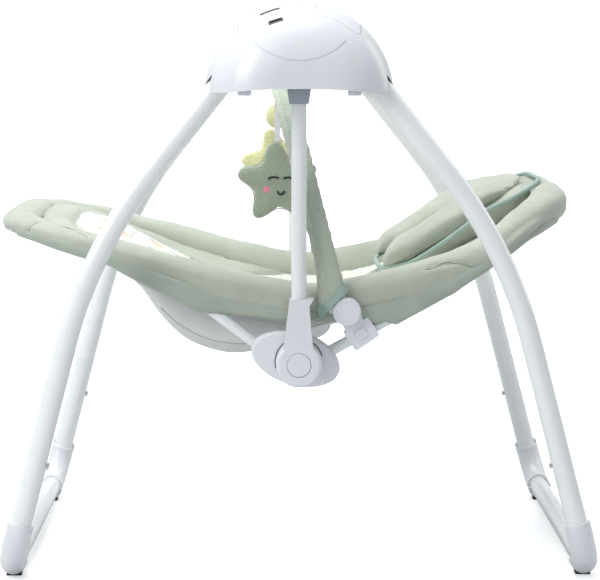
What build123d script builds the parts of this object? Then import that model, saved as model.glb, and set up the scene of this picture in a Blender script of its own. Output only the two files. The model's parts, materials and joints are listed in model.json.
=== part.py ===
"""Portable baby swing: two head housings on folding curved legs, with a hanging reclining seat.

The frame is in millimetres. +Z is up, +X points to the head end of the seat, and the floor is Z = 0.
The two sides are called near (Y < 0) and far (Y > 0). Near pieces are drawn on planes that face -Y,
so an offset or an extrusion on them is a distance away from the middle plane Y = 0.
"""

from build123d import *
import os
from math import cos, pi, radians, sin, sqrt, tan

os.makedirs("parts", exist_ok=True)

RUNNING = 0.06  # radial clearance of a pin or shaft that turns
SEATED = 0.03  # radial clearance of a piece fixed in its hole
FREE = 0.4  # gap between pieces that sit close together

# ---- Head housings ----
head_radius = 97.5
head_centre_z = 509.0
head_bottom_z = 513.0
head_arch_rise = 4.5
head_corner_rise = 9.0
crease_radius = 66.0
crease_centre_z = 612.0
crease_depth = 0.7
head_inner_y = 205.0
head_parting_y = 243.0
head_outer_y = 303.0
crown_flat_radius = 30.0
back_flat_radius = 77.0
back_depth = 20.0
shell_wall = 2.6
swing_axis_z = 556.0
post_outer_y = 284.0
screw_places = [(0, 599.5, 268), (-83, 549, 262), (83, 549, 262), (-36, 521.8, 272), (36, 521.8, 272)]

# ---- Controls and batteries in the near head ----
panel_area = (-62.0, -1.5)
lid_area = (17.0, 62.5)
opening_near_y = 277.0
opening_back_y = 222.0
opening_corner = 9.0
key_angles = {"power_key": -12.0, "speed_key": -28.0}
key_y = 235.0
key_radius = 5.5
window_y = 267.0
socket_y = 283.0
socket_lean = -17.5
socket_size = (15.2, 4.6, 9.0)
cell_radius = 7.1
cell_length = 50.0
cell_places = [(36.6, 579.2), (51.2, 569.5), (38.8, 556.5)]

# ---- Drive ----
gear_module = 1.0
pinion_teeth = 10
crank_teeth = 26
crank_z = 580.0
crank_throw = 4.0
crank_inner_y = 252.0
gear_width = 4.0
gear_spacing = gear_module * (pinion_teeth + crank_teeth) / 2
fork_half_gap = 14.5

# ---- Legs and base ----
leg_y = 255.0
tube_radius = 11.0
tube_wall = 1.4
leg_slot_half = 12.4
leg_pivot_x = 72.0
leg_pivot_z = 533.0
pivot_pin_radius = 4.0
upper_leg_angle = 38.3
lower_leg_angle = 14.6
leg_bend_z = 351.0
leg_bend_radius = 480.0
leg_joint_z = 111.5
leg_top_overrun = 12.0
base_tube_z = 16.0
base_elbow_radius = 45.0
stub_radius = 9.3
stub_wall = 1.3
stub_length = 42.0
snap_height = 18.0
snap_radius = 3.4
cap_thickness = 2.8
cap_top = 50.0
fold_button_x = 56.0
fold_button_y = 281.0
fold_button_radius = 7.0

# ---- Swing arms ----
arm_y = 230.0
arm_radius = 8.0
arm_wall = 1.3
arm_top_z = 530.0
arm_bottom_z = 262.0
collar_bottom_z = 501.0
socket_top_z = 298.0
hinge_z = 229.0
boss_radius = 24.0
boss_inner_y = 213.0
boss_outer_y = 241.0
button_radius = 12.4
shaft_radius = 5.0
spigot_radius = 9.0
collar_half_depth = 10.5

# ---- Seat ----
hub_long = 48.4
hub_short = 27.9
hub_tilt = -17.0
hub_centre = (-3.4, 231.6)
hub_inner_y = 190.0
hub_outer_y = 212.6
seat_tube_y = 198.0
seat_tube_radius = 6.0
seat_tube_wall = 1.2
foot_x = -322.0
head_x = 294.0
rail_outer_y = 206.0
rail_width = 38.0
rail_corner = 120.0
tub_half_width = 166.0
cloth = 3.0
rail_top = [(-300, 381), (-197, 357), (-44, 319), (12, 311), (77, 320), (191, 357), (247, 395), (272, 409)]
rail_bottom = [(-304, 360), (-197, 331), (-44, 280), (12, 272), (77, 279), (191, 324), (247, 361), (280, 377)]
tub_line = [(-292, 358), (-240, 342), (-186, 316), (-133, 254), (-72, 229.5), (11, 253), (87, 271), (201, 331), (262, 370)]
pad_line = [(-292, 376), (-197, 355.5), (-120, 306.5), (-72, 278), (-25, 272), (70, 287), (150, 322), (262, 387)]
pillow_top = [(86, 330), (119, 355), (155, 375), (198, 402), (232, 409), (264, 414)]
pillow_bottom = [(88, 291), (150, 318), (205, 349), (240, 374), (264, 394)]
pillow_half_width = 119.0
pillow_corner = 60.0
pillow_ends = (70.0, 270.0)
lobe_line = [(60, 306), (121, 325), (168, 356), (206, 385), (240, 400)]
lobe_gap_half_width = 63.0
lobe_gap_end_x = 208.0
lobe_gap_corner = 45.0
strap_width = 25.0
strap_thickness = 2.0
buckle_area = (-30.0, 10.0)
buckle_half_width = 21.0
buckle_bottom = 277.0

# ---- Toy bar ----
bar_pivot = (50.7, 282.5)
bar_lean = 14.3
bar_offset = 8.2
bar_y = 213.5
bar_height = 262.0
bar_corner = 165.0
bar_width = 25.0
bar_thickness = 11.0
bar_foot = 26.0
bar_boss_radius = 15.0
toy_hang_z = 527.0
toy_thickness = 26.0
ribbon_width = 6.0


def side(distance):
    """The upright plane at this distance from the middle, on the near side, facing away from it."""
    return Plane.XZ.offset(distance)


def rod(x, z, radius, inner_y, outer_y, mode=Mode.ADD):
    """A cylinder across the swing, added to or cut from the part being built."""
    with Locations(Location((x, -(inner_y + outer_y) / 2, z), (90, 0, 0))):
        Cylinder(radius, outer_y - inner_y, mode=mode)


def brick(x0, x1, inner_y, outer_y, z0, z1, mode=Mode.ADD):
    """A block on the near side, added to or cut from the part being built."""
    with Locations(((x0 + x1) / 2, -(inner_y + outer_y) / 2, (z0 + z1) / 2)):
        Box(x1 - x0, outer_y - inner_y, z1 - z0, mode=mode)


def write(piece, name):
    piece.part.label = name
    export_step(piece.part, f"parts/{name}.step")


def mirrored(piece, about):
    """A part that is the mirror image of another."""
    with BuildPart() as image:
        mirror(piece.part, about=about)
    return image


def write_pair(piece, name):
    """Write a near piece, and its mirror image on the far side, as two nodes."""
    write(piece, f"near_{name}")
    write(mirrored(piece, Plane.XZ), f"far_{name}")


def write_group(piece, name, about=Plane.XZ):
    """Write a piece and its mirror image as one node."""
    with BuildPart() as group:
        add(piece.part)
        mirror(piece.part, about=about)
    write(group, name)
    return group


# =====================================================================================
# Head housings
# =====================================================================================


def head_blank(inset):
    """The head's domed shape, turned about its own axis and trimmed along its arched lower edge."""
    rim = head_radius - inset
    back_start = head_inner_y + back_depth
    with BuildPart() as blank:
        with BuildSketch(Plane.XY.offset(head_centre_z)):
            with BuildLine():
                face_line = Line((0, -head_outer_y + inset), (crown_flat_radius, -head_outer_y + inset))
                EllipticalCenterArc(
                    (crown_flat_radius, -head_parting_y),
                    rim - crown_flat_radius,
                    head_outer_y - head_parting_y - inset,
                    start_angle=270,
                    arc_size=90,
                )
                Line((rim, -head_parting_y), (rim, -back_start))
                EllipticalCenterArc(
                    (back_flat_radius, -back_start),
                    rim - back_flat_radius,
                    back_depth - inset,
                    start_angle=0,
                    arc_size=90,
                )
                back_line = Line(
                    (back_flat_radius, -head_inner_y - inset), (0, -head_inner_y - inset)
                )
                Line(back_line @ 1, face_line @ 0)
            make_face()
        revolve(axis=Axis((0, 0, head_centre_z), (0, 1, 0)))
        level = head_bottom_z + inset
        with BuildSketch(side(head_inner_y - 5)):
            with BuildLine():
                arch = ThreePointArc((-80, level), (0, level + head_arch_rise), (80, level))
                corner = [(88, level), (99, level + head_corner_rise), (120, level + head_corner_rise), (120, 300)]
                Polyline(arch @ 1, *corner, *[(-x, z) for x, z in reversed(corner)], arch @ 0)
            make_face()
        extrude(amount=120, mode=Mode.SUBTRACT)
    return blank


def leg_slot_outline():
    """The slot for the right-hand leg in the side view: it follows the leg's outer side where it stands."""
    lean = radians(upper_leg_angle)
    top = (leg_pivot_x + leg_slot_half * cos(lean), leg_pivot_z + leg_slot_half * sin(lean))
    end = (top[0] + 70 * sin(lean), top[1] - 70 * cos(lean))
    inner_x = leg_pivot_x - 16
    return [top, end, (inner_x, end[1]), (inner_x, leg_pivot_z)]


def leg_top_room(x):
    """Room above the pivot for the leg's cut end, which turns outward as the leg folds."""
    with BuildPart() as room:
        rod(x, leg_pivot_z, 17, leg_y - leg_slot_half, leg_y + 9.5)
        brick(x - 20, x + 20, leg_y - 20, leg_y + 20, leg_pivot_z + 12, leg_pivot_z + 20, mode=Mode.INTERSECT)
    return room


def crease():
    """The shallow curved crease on the head's face, as the sliver of wall to cut away."""
    with BuildPart() as groove:
        with BuildSketch(side(head_outer_y - 42)):
            with Locations((0, crease_centre_z)):
                Circle(crease_radius + 0.6)
                Circle(crease_radius - 0.6, mode=Mode.SUBTRACT)
            with Locations((0, crease_centre_z - crease_radius)):
                Rectangle(94, 44, mode=Mode.INTERSECT)
        extrude(amount=45)
        add(head_blank(crease_depth).part, mode=Mode.SUBTRACT)
    return groove


def hollow_head():
    """The head without its openings: the wall, and the bosses for bushes, pins and screws."""
    solid = head_blank(0)
    cavity = head_blank(shell_wall)
    with BuildPart() as bosses:
        rod(0, swing_axis_z, 11, head_inner_y, 214.5)
        rod(0, swing_axis_z, 10, 276, 300)
        rod(0, crank_z, 5, 272, 300)
        rod(-gear_spacing, crank_z, 12, 268, 300)
        for x in (-leg_pivot_x, leg_pivot_x):
            rod(x, leg_pivot_z, 7.5, head_inner_y, leg_y - 13)
            rod(x, leg_pivot_z, 7.5, leg_y + 13, 300)
        for x, z, reach in screw_places:
            rod(x, z, 3.6, head_inner_y, reach)
        add(solid.part, mode=Mode.INTERSECT)
    with BuildPart() as head:
        add(solid.part)
        add(cavity.part, mode=Mode.SUBTRACT)
        add(bosses.part)
        for x in (-leg_pivot_x, leg_pivot_x):
            with BuildSketch(side(leg_y - leg_slot_half)):
                with BuildLine():
                    outline = leg_slot_outline()
                    Polyline(*[(px * (1 if x > 0 else -1), pz) for px, pz in outline], close=True)
                make_face()
            extrude(amount=2 * leg_slot_half, mode=Mode.SUBTRACT)
            rod(x, leg_pivot_z, 15.2, leg_y - leg_slot_half, leg_y + leg_slot_half, mode=Mode.SUBTRACT)
            add(leg_top_room(x).part, mode=Mode.SUBTRACT)
            rod(x, leg_pivot_z, pivot_pin_radius + SEATED, leg_y - 28, leg_y + 28, mode=Mode.SUBTRACT)
        brick(-30, 30, 216.5, head_parting_y + 1, 500, 530, mode=Mode.SUBTRACT)
        rod(0, swing_axis_z, 8 + SEATED, head_inner_y + 1.5, 214.6, mode=Mode.SUBTRACT)
        rod(0, swing_axis_z, 8 + SEATED, 275.9, post_outer_y, mode=Mode.SUBTRACT)
        rod(0, crank_z, 2.5 + RUNNING, 271.9, 284, mode=Mode.SUBTRACT)
        rod(-gear_spacing, crank_z, 9.8 + SEATED, 267.9, 274.6, mode=Mode.SUBTRACT)
        for x, z, reach in screw_places:
            rod(x, z, 1.25, head_inner_y - 1, reach - 2, mode=Mode.SUBTRACT)
            rod(x, z, 2.8, head_inner_y - 1, head_inner_y + 4, mode=Mode.SUBTRACT)
        for x in (-fold_button_x, fold_button_x):
            with Locations((x, -fold_button_y, head_bottom_z)):
                Cylinder(fold_button_radius + FREE, 12, mode=Mode.SUBTRACT)
        add(crease().part, mode=Mode.SUBTRACT)
    return head


def outer_half(head):
    with BuildPart() as half:
        add(head.part)
        split(bisect_by=side(head_parting_y + 0.05), keep=Keep.TOP)
    return half


def inner_half(head):
    with BuildPart() as half:
        add(head.part)
        split(bisect_by=side(head_parting_y - 0.05), keep=Keep.BOTTOM)
    return half


def top_prism(x_range, gap):
    """The upright rounded prism that cuts an opening in the top of the near head."""
    centre = ((x_range[0] + x_range[1]) / 2, -(opening_near_y + opening_back_y) / 2)
    with BuildPart() as prism:
        with BuildSketch(Plane.XY.offset(562)):
            with Locations(centre):
                RectangleRounded(
                    x_range[1] - x_range[0] + 2 * gap,
                    opening_near_y - opening_back_y + 2 * gap,
                    opening_corner + gap,
                )
        extrude(amount=60)
    return prism


def key_plane(angle, radius):
    """The plane square to the head's rim at this angle from upright, for the keys on its top."""
    outward = (sin(radians(angle)), 0, cos(radians(angle)))
    centre = (outward[0] * radius, -key_y, head_centre_z + outward[2] * radius)
    return Plane(centre, x_dir=(0, 1, 0), z_dir=outward)


def socket_plane():
    """The plane lying on the dome where the power socket is."""
    lean = radians(socket_lean)
    share = (socket_y - head_parting_y) / (head_outer_y - head_parting_y)
    radius = crown_flat_radius + (head_radius - crown_flat_radius) * sqrt(1 - share**2)
    origin = (radius * sin(lean), -socket_y, head_centre_z + radius * cos(lean))
    return Plane(origin, x_dir=(cos(lean), 0, -sin(lean)), z_dir=(0.7 * sin(lean), -0.71, 0.7 * cos(lean)))


plain_head = hollow_head()
write(mirrored(outer_half(plain_head), Plane.XZ), "far_head_outer_shell")
write(mirrored(inner_half(plain_head), Plane.XZ), "far_head_inner_shell")

# The lid and the panel are cut out of the head's own wall, so they follow its dome.
wall = head_blank(0)
wall_core = head_blank(shell_wall)
openings = [top_prism(panel_area, FREE), top_prism(lid_area, FREE)]

with BuildPart() as near_head:
    add(plain_head.part)
    for prism in openings:
        add(prism.part, mode=Mode.SUBTRACT)
    with Locations(socket_plane()):
        Box(socket_size[0] + 0.3, socket_size[1] + 0.3, 22, mode=Mode.SUBTRACT)
write(outer_half(near_head), "near_head_outer_shell")
write(inner_half(near_head), "near_head_inner_shell")

with BuildPart() as battery_lid:
    add(wall.part)
    add(wall_core.part, mode=Mode.SUBTRACT)
    add(top_prism(lid_area, 0).part, mode=Mode.INTERSECT)
write(battery_lid, "battery_lid")

with BuildPart() as control_panel:
    add(wall.part)
    add(wall_core.part, mode=Mode.SUBTRACT)
    add(top_prism(panel_area, 0).part, mode=Mode.INTERSECT)
    for angle in key_angles.values():
        with BuildSketch(key_plane(angle, 80)):
            Circle(key_radius + FREE)
        extrude(amount=30, mode=Mode.SUBTRACT)
    brick(-40, -20, window_y - 2, window_y + 2, 575, 610, mode=Mode.SUBTRACT)
write(control_panel, "control_panel")

with BuildPart() as display_window:
    add(wall.part)
    add(wall_core.part, mode=Mode.SUBTRACT)
    with BuildSketch(Plane.XY.offset(575)):
        with Locations((-30, -window_y)):
            Rectangle(19.8, 3.8)
    extrude(amount=40, mode=Mode.INTERSECT)
write(display_window, "display_window")

for key_name, angle in key_angles.items():
    with BuildPart() as key:
        with BuildSketch(key_plane(angle, head_radius - shell_wall - 3)):
            Circle(key_radius + 1.8)
        extrude(amount=2.2)
        with BuildSketch(key_plane(angle, head_radius - shell_wall - 1)):
            Circle(key_radius)
        extrude(amount=shell_wall + 2.2)
        fillet(key.faces().sort_by(Axis.Z)[-1].edges(), 0.8)
    write(key, key_name)

with BuildPart() as power_socket:
    with Locations(socket_plane()):
        with Locations((0, 0, 0.6 - socket_size[2] / 2)):
            Box(*socket_size)
            with Locations((0, 0, 2.5)):
                Box(12.5, 2.0, 6, mode=Mode.SUBTRACT)
write(power_socket, "power_socket")

with BuildPart() as battery_cells:
    for x, z in cell_places:
        rod(x, z, cell_radius, 213.5, 213.5 + cell_length - 1.5)
        rod(x, z, 2.6, 213.5 + cell_length - 1.5, 213.5 + cell_length)
write(battery_cells, "battery_cells")

with BuildPart() as circuit_board:
    brick(-62, -33, 222, 268, 563.2, 564.8)
    for x, y in ((-56, 232), (-44, 240), (-42, 258)):
        brick(x - 3.5, x + 3.5, y - 4, y + 4, 564.8, 567.2)
    brick(-56, -46, 250, 262, 564.8, 570)
write(circuit_board, "circuit_board")

with BuildPart() as speaker:
    rod(-41, 540, 12, 211, 214)
    rod(-41, 540, 6.5, 214, 219)
    rod(-41, 540, 9.5, 210.9, 212, mode=Mode.SUBTRACT)
write(speaker, "speaker")

with BuildPart() as swing_bush:
    rod(0, swing_axis_z, 8, head_inner_y + 1.6, 214.5)
    rod(0, swing_axis_z, 8, 276, post_outer_y)
    rod(0, swing_axis_z, shaft_radius + RUNNING, head_inner_y, 300, mode=Mode.SUBTRACT)
write_group(swing_bush, "swing_bushes")

with BuildPart() as pivot_pin:
    for x in (-leg_pivot_x, leg_pivot_x):
        rod(x, leg_pivot_z, pivot_pin_radius, leg_y - 26, leg_y + 26)
write_group(pivot_pin, "leg_pivot_pins")

with BuildPart() as shell_screw:
    for x, z, reach in screw_places:
        rod(x, z, 1.2, head_inner_y + 3.9, reach - 4)
        rod(x, z, 2.5, head_inner_y + 2, head_inner_y + 3.9)
write_group(shell_screw, "shell_screws")

# The leg locks: one button beside each leg, on the underside of each head.
with BuildPart() as rear_fold_button:
    with Locations((fold_button_x, -fold_button_y, 0)):
        with Locations((0, 0, 514.5)):
            Cylinder(fold_button_radius, 8.4)
        with Locations((0, 0, 519.8)):
            Cylinder(fold_button_radius + 1.8, 2.4)
    fillet(rear_fold_button.faces().sort_by(Axis.Z)[0].edges(), 1.5)
rear_fold_buttons = write_group(rear_fold_button, "rear_fold_buttons")
write(mirrored(rear_fold_buttons, Plane.YZ), "front_fold_buttons")

# =====================================================================================
# Drive
# =====================================================================================


def spur(teeth, phase):
    """The outline of a small spur gear with slim teeth, so the pair runs with generous backlash."""
    pitch = gear_module * teeth / 2
    root, tip = pitch - 1.15 * gear_module, pitch + 0.85 * gear_module
    root_half, tip_half = 0.36 * pi / teeth, 0.14 * pi / teeth
    corners = ((root, -root_half), (tip, -tip_half), (tip, tip_half), (root, root_half))
    outline = []
    for tooth in range(teeth):
        middle = radians(phase) + tooth * 2 * pi / teeth
        for radius, half in corners:
            outline.append((radius * cos(middle + half), radius * sin(middle + half)))
    Polygon(*outline, align=None)


# The pinion meshes on the crank gear's -X side: a tooth of the pinion points at a gap of the gear.
with BuildPart() as crank_gear:
    with BuildSketch(side(crank_inner_y)):
        with Locations((0, crank_z)):
            spur(crank_teeth, 180 + 180 / crank_teeth)
    extrude(amount=gear_width)
    rod(0, crank_z, 2.5, crank_inner_y, 283.5)
    rod(0, crank_z - crank_throw, 1.5, crank_inner_y - 7.5, crank_inner_y)
write(crank_gear, "crank_gear")

with BuildPart() as motor_pinion:
    with BuildSketch(side(crank_inner_y)):
        with Locations((-gear_spacing, crank_z)):
            spur(pinion_teeth, 0)
    extrude(amount=gear_width)
    rod(-gear_spacing, crank_z, 1.0 + SEATED, crank_inner_y - 1, 262, mode=Mode.SUBTRACT)
write(motor_pinion, "motor_pinion")

with BuildPart() as gearmotor:
    rod(-gear_spacing, crank_z, 9.8, 259.5, 274.5)
    rod(-gear_spacing, crank_z, 3.5, 258, 259.5)
    rod(-gear_spacing, crank_z, 1.0, crank_inner_y - 1, 258)
write(gearmotor, "gearmotor")

with BuildPart() as drive_fork:
    with BuildSketch(side(boss_outer_y + 2.6)):
        with Locations((0, swing_axis_z)):
            Circle(9)
        with Locations((0, swing_axis_z + 9)):
            Rectangle(2 * fork_half_gap + 6, 6)
        with Locations((-fork_half_gap - 1.5, swing_axis_z + 20), (fork_half_gap + 1.5, swing_axis_z + 20)):
            Rectangle(3, 28)
    extrude(amount=4)
    rod(0, swing_axis_z, shaft_radius + SEATED, 240, 250, mode=Mode.SUBTRACT)
write(drive_fork, "drive_fork")

# =====================================================================================
# Legs and base
# =====================================================================================


def ring(outer, thickness):
    """A tube's cross-section, drawn in the current sketch."""
    Circle(outer)
    Circle(outer - thickness, mode=Mode.SUBTRACT)


def across(path, at):
    """The plane square to a path at this fraction of its length."""
    return Plane(path @ at, z_dir=path % at)


# The leg runs down and out from its pivot, and steepens through one long bend.
leg_bend_x = leg_pivot_x + (leg_pivot_z - leg_bend_z) * tan(radians(upper_leg_angle))
leg_top = (
    leg_pivot_x - leg_top_overrun * sin(radians(upper_leg_angle)),
    leg_pivot_z + leg_top_overrun * cos(radians(upper_leg_angle)),
)
lower_slope = tan(radians(lower_leg_angle))
leg_joint_x = leg_bend_x + (leg_bend_z - leg_joint_z) * lower_slope
base_x = leg_bend_x + (leg_bend_z - base_tube_z) * lower_slope

# The base frame lies in the plane of the lower legs: its own x runs across, its y up the leg.
lower_leg_up = (-sin(radians(lower_leg_angle)), 0, cos(radians(lower_leg_angle)))
base_plane = Plane(
    (base_x, 0, base_tube_z), x_dir=(0, 1, 0), z_dir=(lower_leg_up[2], 0, -lower_leg_up[0])
)
joint_reach = (leg_joint_z - base_tube_z) / cos(radians(lower_leg_angle))
snap_reach = joint_reach + snap_height
inward = (-cos(radians(lower_leg_angle)), 0, -sin(radians(lower_leg_angle)))
snap_centre = base_plane.from_local_coords((-leg_y, snap_reach, 0))


def snap_plane(distance):
    """The plane square to the snap button's travel, this far inward from the leg's axis."""
    origin = tuple(c + i * distance for c, i in zip(snap_centre, inward))
    return Plane(origin, x_dir=lower_leg_up, z_dir=inward)


with BuildLine(side(leg_y)) as leg_path:
    FilletPolyline(leg_top, (leg_bend_x, leg_bend_z), (leg_joint_x, leg_joint_z), radius=leg_bend_radius)

with BuildPart() as rear_leg:
    with BuildSketch(across(leg_path.line, 0)):
        ring(tube_radius, tube_wall)
    sweep(path=leg_path.line)
    rod(leg_pivot_x, leg_pivot_z, pivot_pin_radius + RUNNING, leg_y - 20, leg_y + 20, mode=Mode.SUBTRACT)
    with BuildSketch(snap_plane(5)):
        Circle(snap_radius + FREE)
    extrude(amount=10, mode=Mode.SUBTRACT)
write_pair(rear_leg, "rear_leg")
write_pair(mirrored(rear_leg, Plane.YZ), "front_leg")

with BuildLine(base_plane) as base_path:
    FilletPolyline(
        (-leg_y, joint_reach), (-leg_y, 0), (leg_y, 0), (leg_y, joint_reach), radius=base_elbow_radius
    )

with BuildPart() as rear_base_tube:
    with BuildSketch(across(base_path.line, 0)):
        ring(tube_radius, tube_wall)
    sweep(path=base_path.line)
    with BuildSketch(across(base_path.line, 0)):
        ring(stub_radius, stub_wall)
    extrude(amount=-stub_length)
    with BuildSketch(across(base_path.line, 0)):
        ring(tube_radius, tube_radius - stub_radius + stub_wall)
    extrude(amount=3)
    with BuildSketch(snap_plane(5)):
        Circle(snap_radius + FREE)
    extrude(amount=10, mode=Mode.SUBTRACT)
    # Keeping what the tube and its mirror image share opens the same snap hole on the far side.
    mirror(rear_base_tube.part, about=Plane.XZ, mode=Mode.INTERSECT)
write(rear_base_tube, "rear_base_tube")
write(mirrored(rear_base_tube, Plane.YZ), "front_base_tube")

# A snap button and the leaf it is pressed into, inside the stub of the base frame.
with BuildPart() as snap_button:
    with BuildSketch(snap_plane(6.2)):
        Circle(snap_radius)
    extrude(amount=tube_radius - 6.2 + 2.6)
    fillet(snap_button.faces().sort_by(Axis.X)[0].edges(), 1.0)
    with BuildSketch(snap_plane(5.2)):
        Rectangle(26, 6)
    extrude(amount=1)
rear_snap_buttons = write_group(snap_button, "rear_snap_buttons")
write(mirrored(rear_snap_buttons, Plane.YZ), "front_snap_buttons")

# A foot cap is a gutter that wraps the outside of the elbow, from the leg round to the floor.
with BuildLine(base_plane) as cap_path:
    FilletPolyline((-leg_y, cap_top), (-leg_y, 0), (-leg_y + 56, 0), radius=base_elbow_radius)

with BuildPart() as rear_foot_cap:
    with BuildSketch(across(cap_path.line, 0)) as cap_section:
        Circle(tube_radius + SEATED + cap_thickness)
        Circle(tube_radius + SEATED, mode=Mode.SUBTRACT)
    sweep(path=cap_path.line)
    # The gutter is open towards the inside of the elbow.
    with BuildSketch(base_plane):
        with BuildLine():
            Line((-leg_y + 2, cap_top + 1), (-leg_y + 2, base_elbow_radius))
            RadiusArc((-leg_y + 2, base_elbow_radius), (-leg_y + 45, 2), 43)
            Polyline(
                (-leg_y + 45, 2), (-leg_y + 60, 2), (-leg_y + 60, cap_top + 1), (-leg_y + 2, cap_top + 1)
            )
        make_face()
    extrude(amount=20, both=True, mode=Mode.SUBTRACT)
rear_foot_caps = write_group(rear_foot_cap, "rear_foot_caps")
write(mirrored(rear_foot_caps, Plane.YZ), "front_foot_caps")

pad_y = leg_y - 49
with BuildPart() as rear_foot_pad:
    brick(base_x - 8, base_x + 8, pad_y - 6, pad_y + 6, 0, 6)
    rod(
        base_x,
        base_tube_z,
        tube_radius + cap_thickness + 2 * SEATED,
        pad_y - 9,
        pad_y + 9,
        mode=Mode.SUBTRACT,
    )
    fillet(rear_foot_pad.faces().sort_by(Axis.Z)[0].edges().filter_by(Axis.Y), 0.8)
rear_foot_pads = write_group(rear_foot_pad, "rear_foot_pads")
write(mirrored(rear_foot_pads, Plane.YZ), "front_foot_pads")

# =====================================================================================
# Swing arms
# =====================================================================================

with BuildPart() as swing_shaft:
    rod(0, swing_axis_z, shaft_radius, 207.5, post_outer_y - 1)
write_group(swing_shaft, "swing_shafts")

with BuildPart() as swing_arm:
    with BuildSketch(Plane.XY.offset(arm_bottom_z)):
        with Locations((0, -arm_y)):
            ring(arm_radius, arm_wall)
    extrude(amount=arm_top_z - arm_bottom_z)
write_pair(swing_arm, "swing_arm")

with BuildPart() as arm_collar:
    with BuildSketch(side(arm_y - collar_half_depth)):
        with BuildLine():
            Polyline(
                (-10, collar_bottom_z),
                (10, collar_bottom_z),
                (12.5, collar_bottom_z + 16),
                (12.5, swing_axis_z),
                (-12.5, swing_axis_z),
                (-12.5, collar_bottom_z + 16),
                close=True,
            )
        make_face()
        with Locations((0, swing_axis_z)):
            Circle(12.5)
    extrude(amount=2 * collar_half_depth)
    rod(0, swing_axis_z, shaft_radius + SEATED, 210, 250, mode=Mode.SUBTRACT)
    with Locations((0, -arm_y, (collar_bottom_z + arm_top_z) / 2)):
        Cylinder(arm_radius + SEATED, arm_top_z - collar_bottom_z, mode=Mode.SUBTRACT)
    for x in (-9.3, 0, 9.3):
        rod(x, collar_bottom_z + 14.5, 0.9, arm_y + 8.5, arm_y + 12, mode=Mode.SUBTRACT)
write_group(arm_collar, "arm_collars")

with BuildPart() as arm_socket:
    rod(0, hinge_z, boss_radius, boss_inner_y, boss_outer_y)
    fillet(arm_socket.faces().sort_by(Axis.Y)[0].edges(), 4.0)
    with BuildSketch(side(arm_y - collar_half_depth)):
        with BuildLine():
            Polyline(
                (-9.6, socket_top_z),
                (15.4, socket_top_z),
                (10.6, socket_top_z - 7),
                (14.4, hinge_z + 18),
                (16.5, hinge_z),
                (-16.5, hinge_z),
                (-16.0, hinge_z + 18),
                close=True,
            )
        make_face()
    extrude(amount=2 * collar_half_depth)
    rod(0, hinge_z, spigot_radius, hub_inner_y + 3, boss_inner_y)
    rod(0, hinge_z, button_radius + FREE, boss_outer_y - 14, boss_outer_y + 2, mode=Mode.SUBTRACT)
    with Locations((0, -arm_y, (arm_bottom_z + socket_top_z) / 2)):
        Cylinder(arm_radius + SEATED, socket_top_z - arm_bottom_z, mode=Mode.SUBTRACT)
write_pair(arm_socket, "arm_socket")

with BuildPart() as recline_button:
    rod(0, hinge_z, button_radius, boss_outer_y - 9, boss_outer_y + 0.6)
    fillet(recline_button.faces().sort_by(Axis.Y)[0].edges(), 1.0)
    rod(0, hinge_z, button_radius - 2, boss_outer_y - 10, boss_outer_y - 2, mode=Mode.SUBTRACT)
write_pair(recline_button, "recline_button")

# =====================================================================================
# Seat frame
# =====================================================================================

# Each seat tube is one bent loop: out of one hub, up and along the rail, round the end, and back.
front_end_x = foot_x + rail_width / 2
rear_end_x = head_x - rail_width / 2
front_loop_path = [(-20, 227.6), (-146, 323.1), (front_end_x, 371)]
rear_loop_path = [(20, 231.2), (165, 311), (rear_end_x, 391)]


def loop_line(points):
    """A seat tube's centre line, from (x, z) points on one side, mirrored to the other."""
    near = [(x, -seat_tube_y, z) for x, z in points]
    far = [(x, seat_tube_y, z) for x, z in reversed(points)]
    with BuildLine() as line:
        FilletPolyline(*near, *far, radius=[60, 95, 95, 60])
    return line.line


def seat_loop(path, radius, thickness=None):
    """A round tube, or a solid bar, along a seat tube's centre line."""
    with BuildPart() as loop:
        with BuildSketch(across(path, 0)):
            if thickness is None:
                Circle(radius)
            else:
                ring(radius, thickness)
        sweep(path=path)
    return loop


front_line = loop_line(front_loop_path)
rear_line = loop_line(rear_loop_path)
write(seat_loop(front_line, seat_tube_radius, seat_tube_wall), "front_seat_tube")
write(seat_loop(rear_line, seat_tube_radius, seat_tube_wall), "rear_seat_tube")
tube_room = [seat_loop(line, seat_tube_radius + FREE) for line in (front_line, rear_line)]
tube_seats = [seat_loop(line, seat_tube_radius + SEATED) for line in (front_line, rear_line)]

with BuildPart() as seat_hub:
    with BuildSketch(side(hub_inner_y)):
        with Locations(hub_centre):
            Ellipse(hub_long, hub_short, rotation=hub_tilt)
    extrude(amount=hub_outer_y - hub_inner_y)
    fillet(seat_hub.faces().sort_by(Axis.Y)[0].edges(), 5.0)
    fillet(seat_hub.faces().sort_by(Axis.Y)[-1].edges(), 2.0)
    rod(0, hinge_z, spigot_radius + RUNNING, hub_inner_y - 1, hub_outer_y + 1, mode=Mode.SUBTRACT)
    for seat in tube_seats:
        add(seat.part, mode=Mode.SUBTRACT)
write_group(seat_hub, "seat_hubs")

# =====================================================================================
# Soft seat
# =====================================================================================


def plan(x0, x1, half_width, corner, mode=Mode.ADD):
    """A rounded outline of the seat seen from above, in the current sketch."""
    with Locations(((x0 + x1) / 2, 0)):
        RectangleRounded(x1 - x0, 2 * half_width, corner, mode=mode)


def raised(points, rise):
    return [(x, z + rise) for x, z in points]


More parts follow.
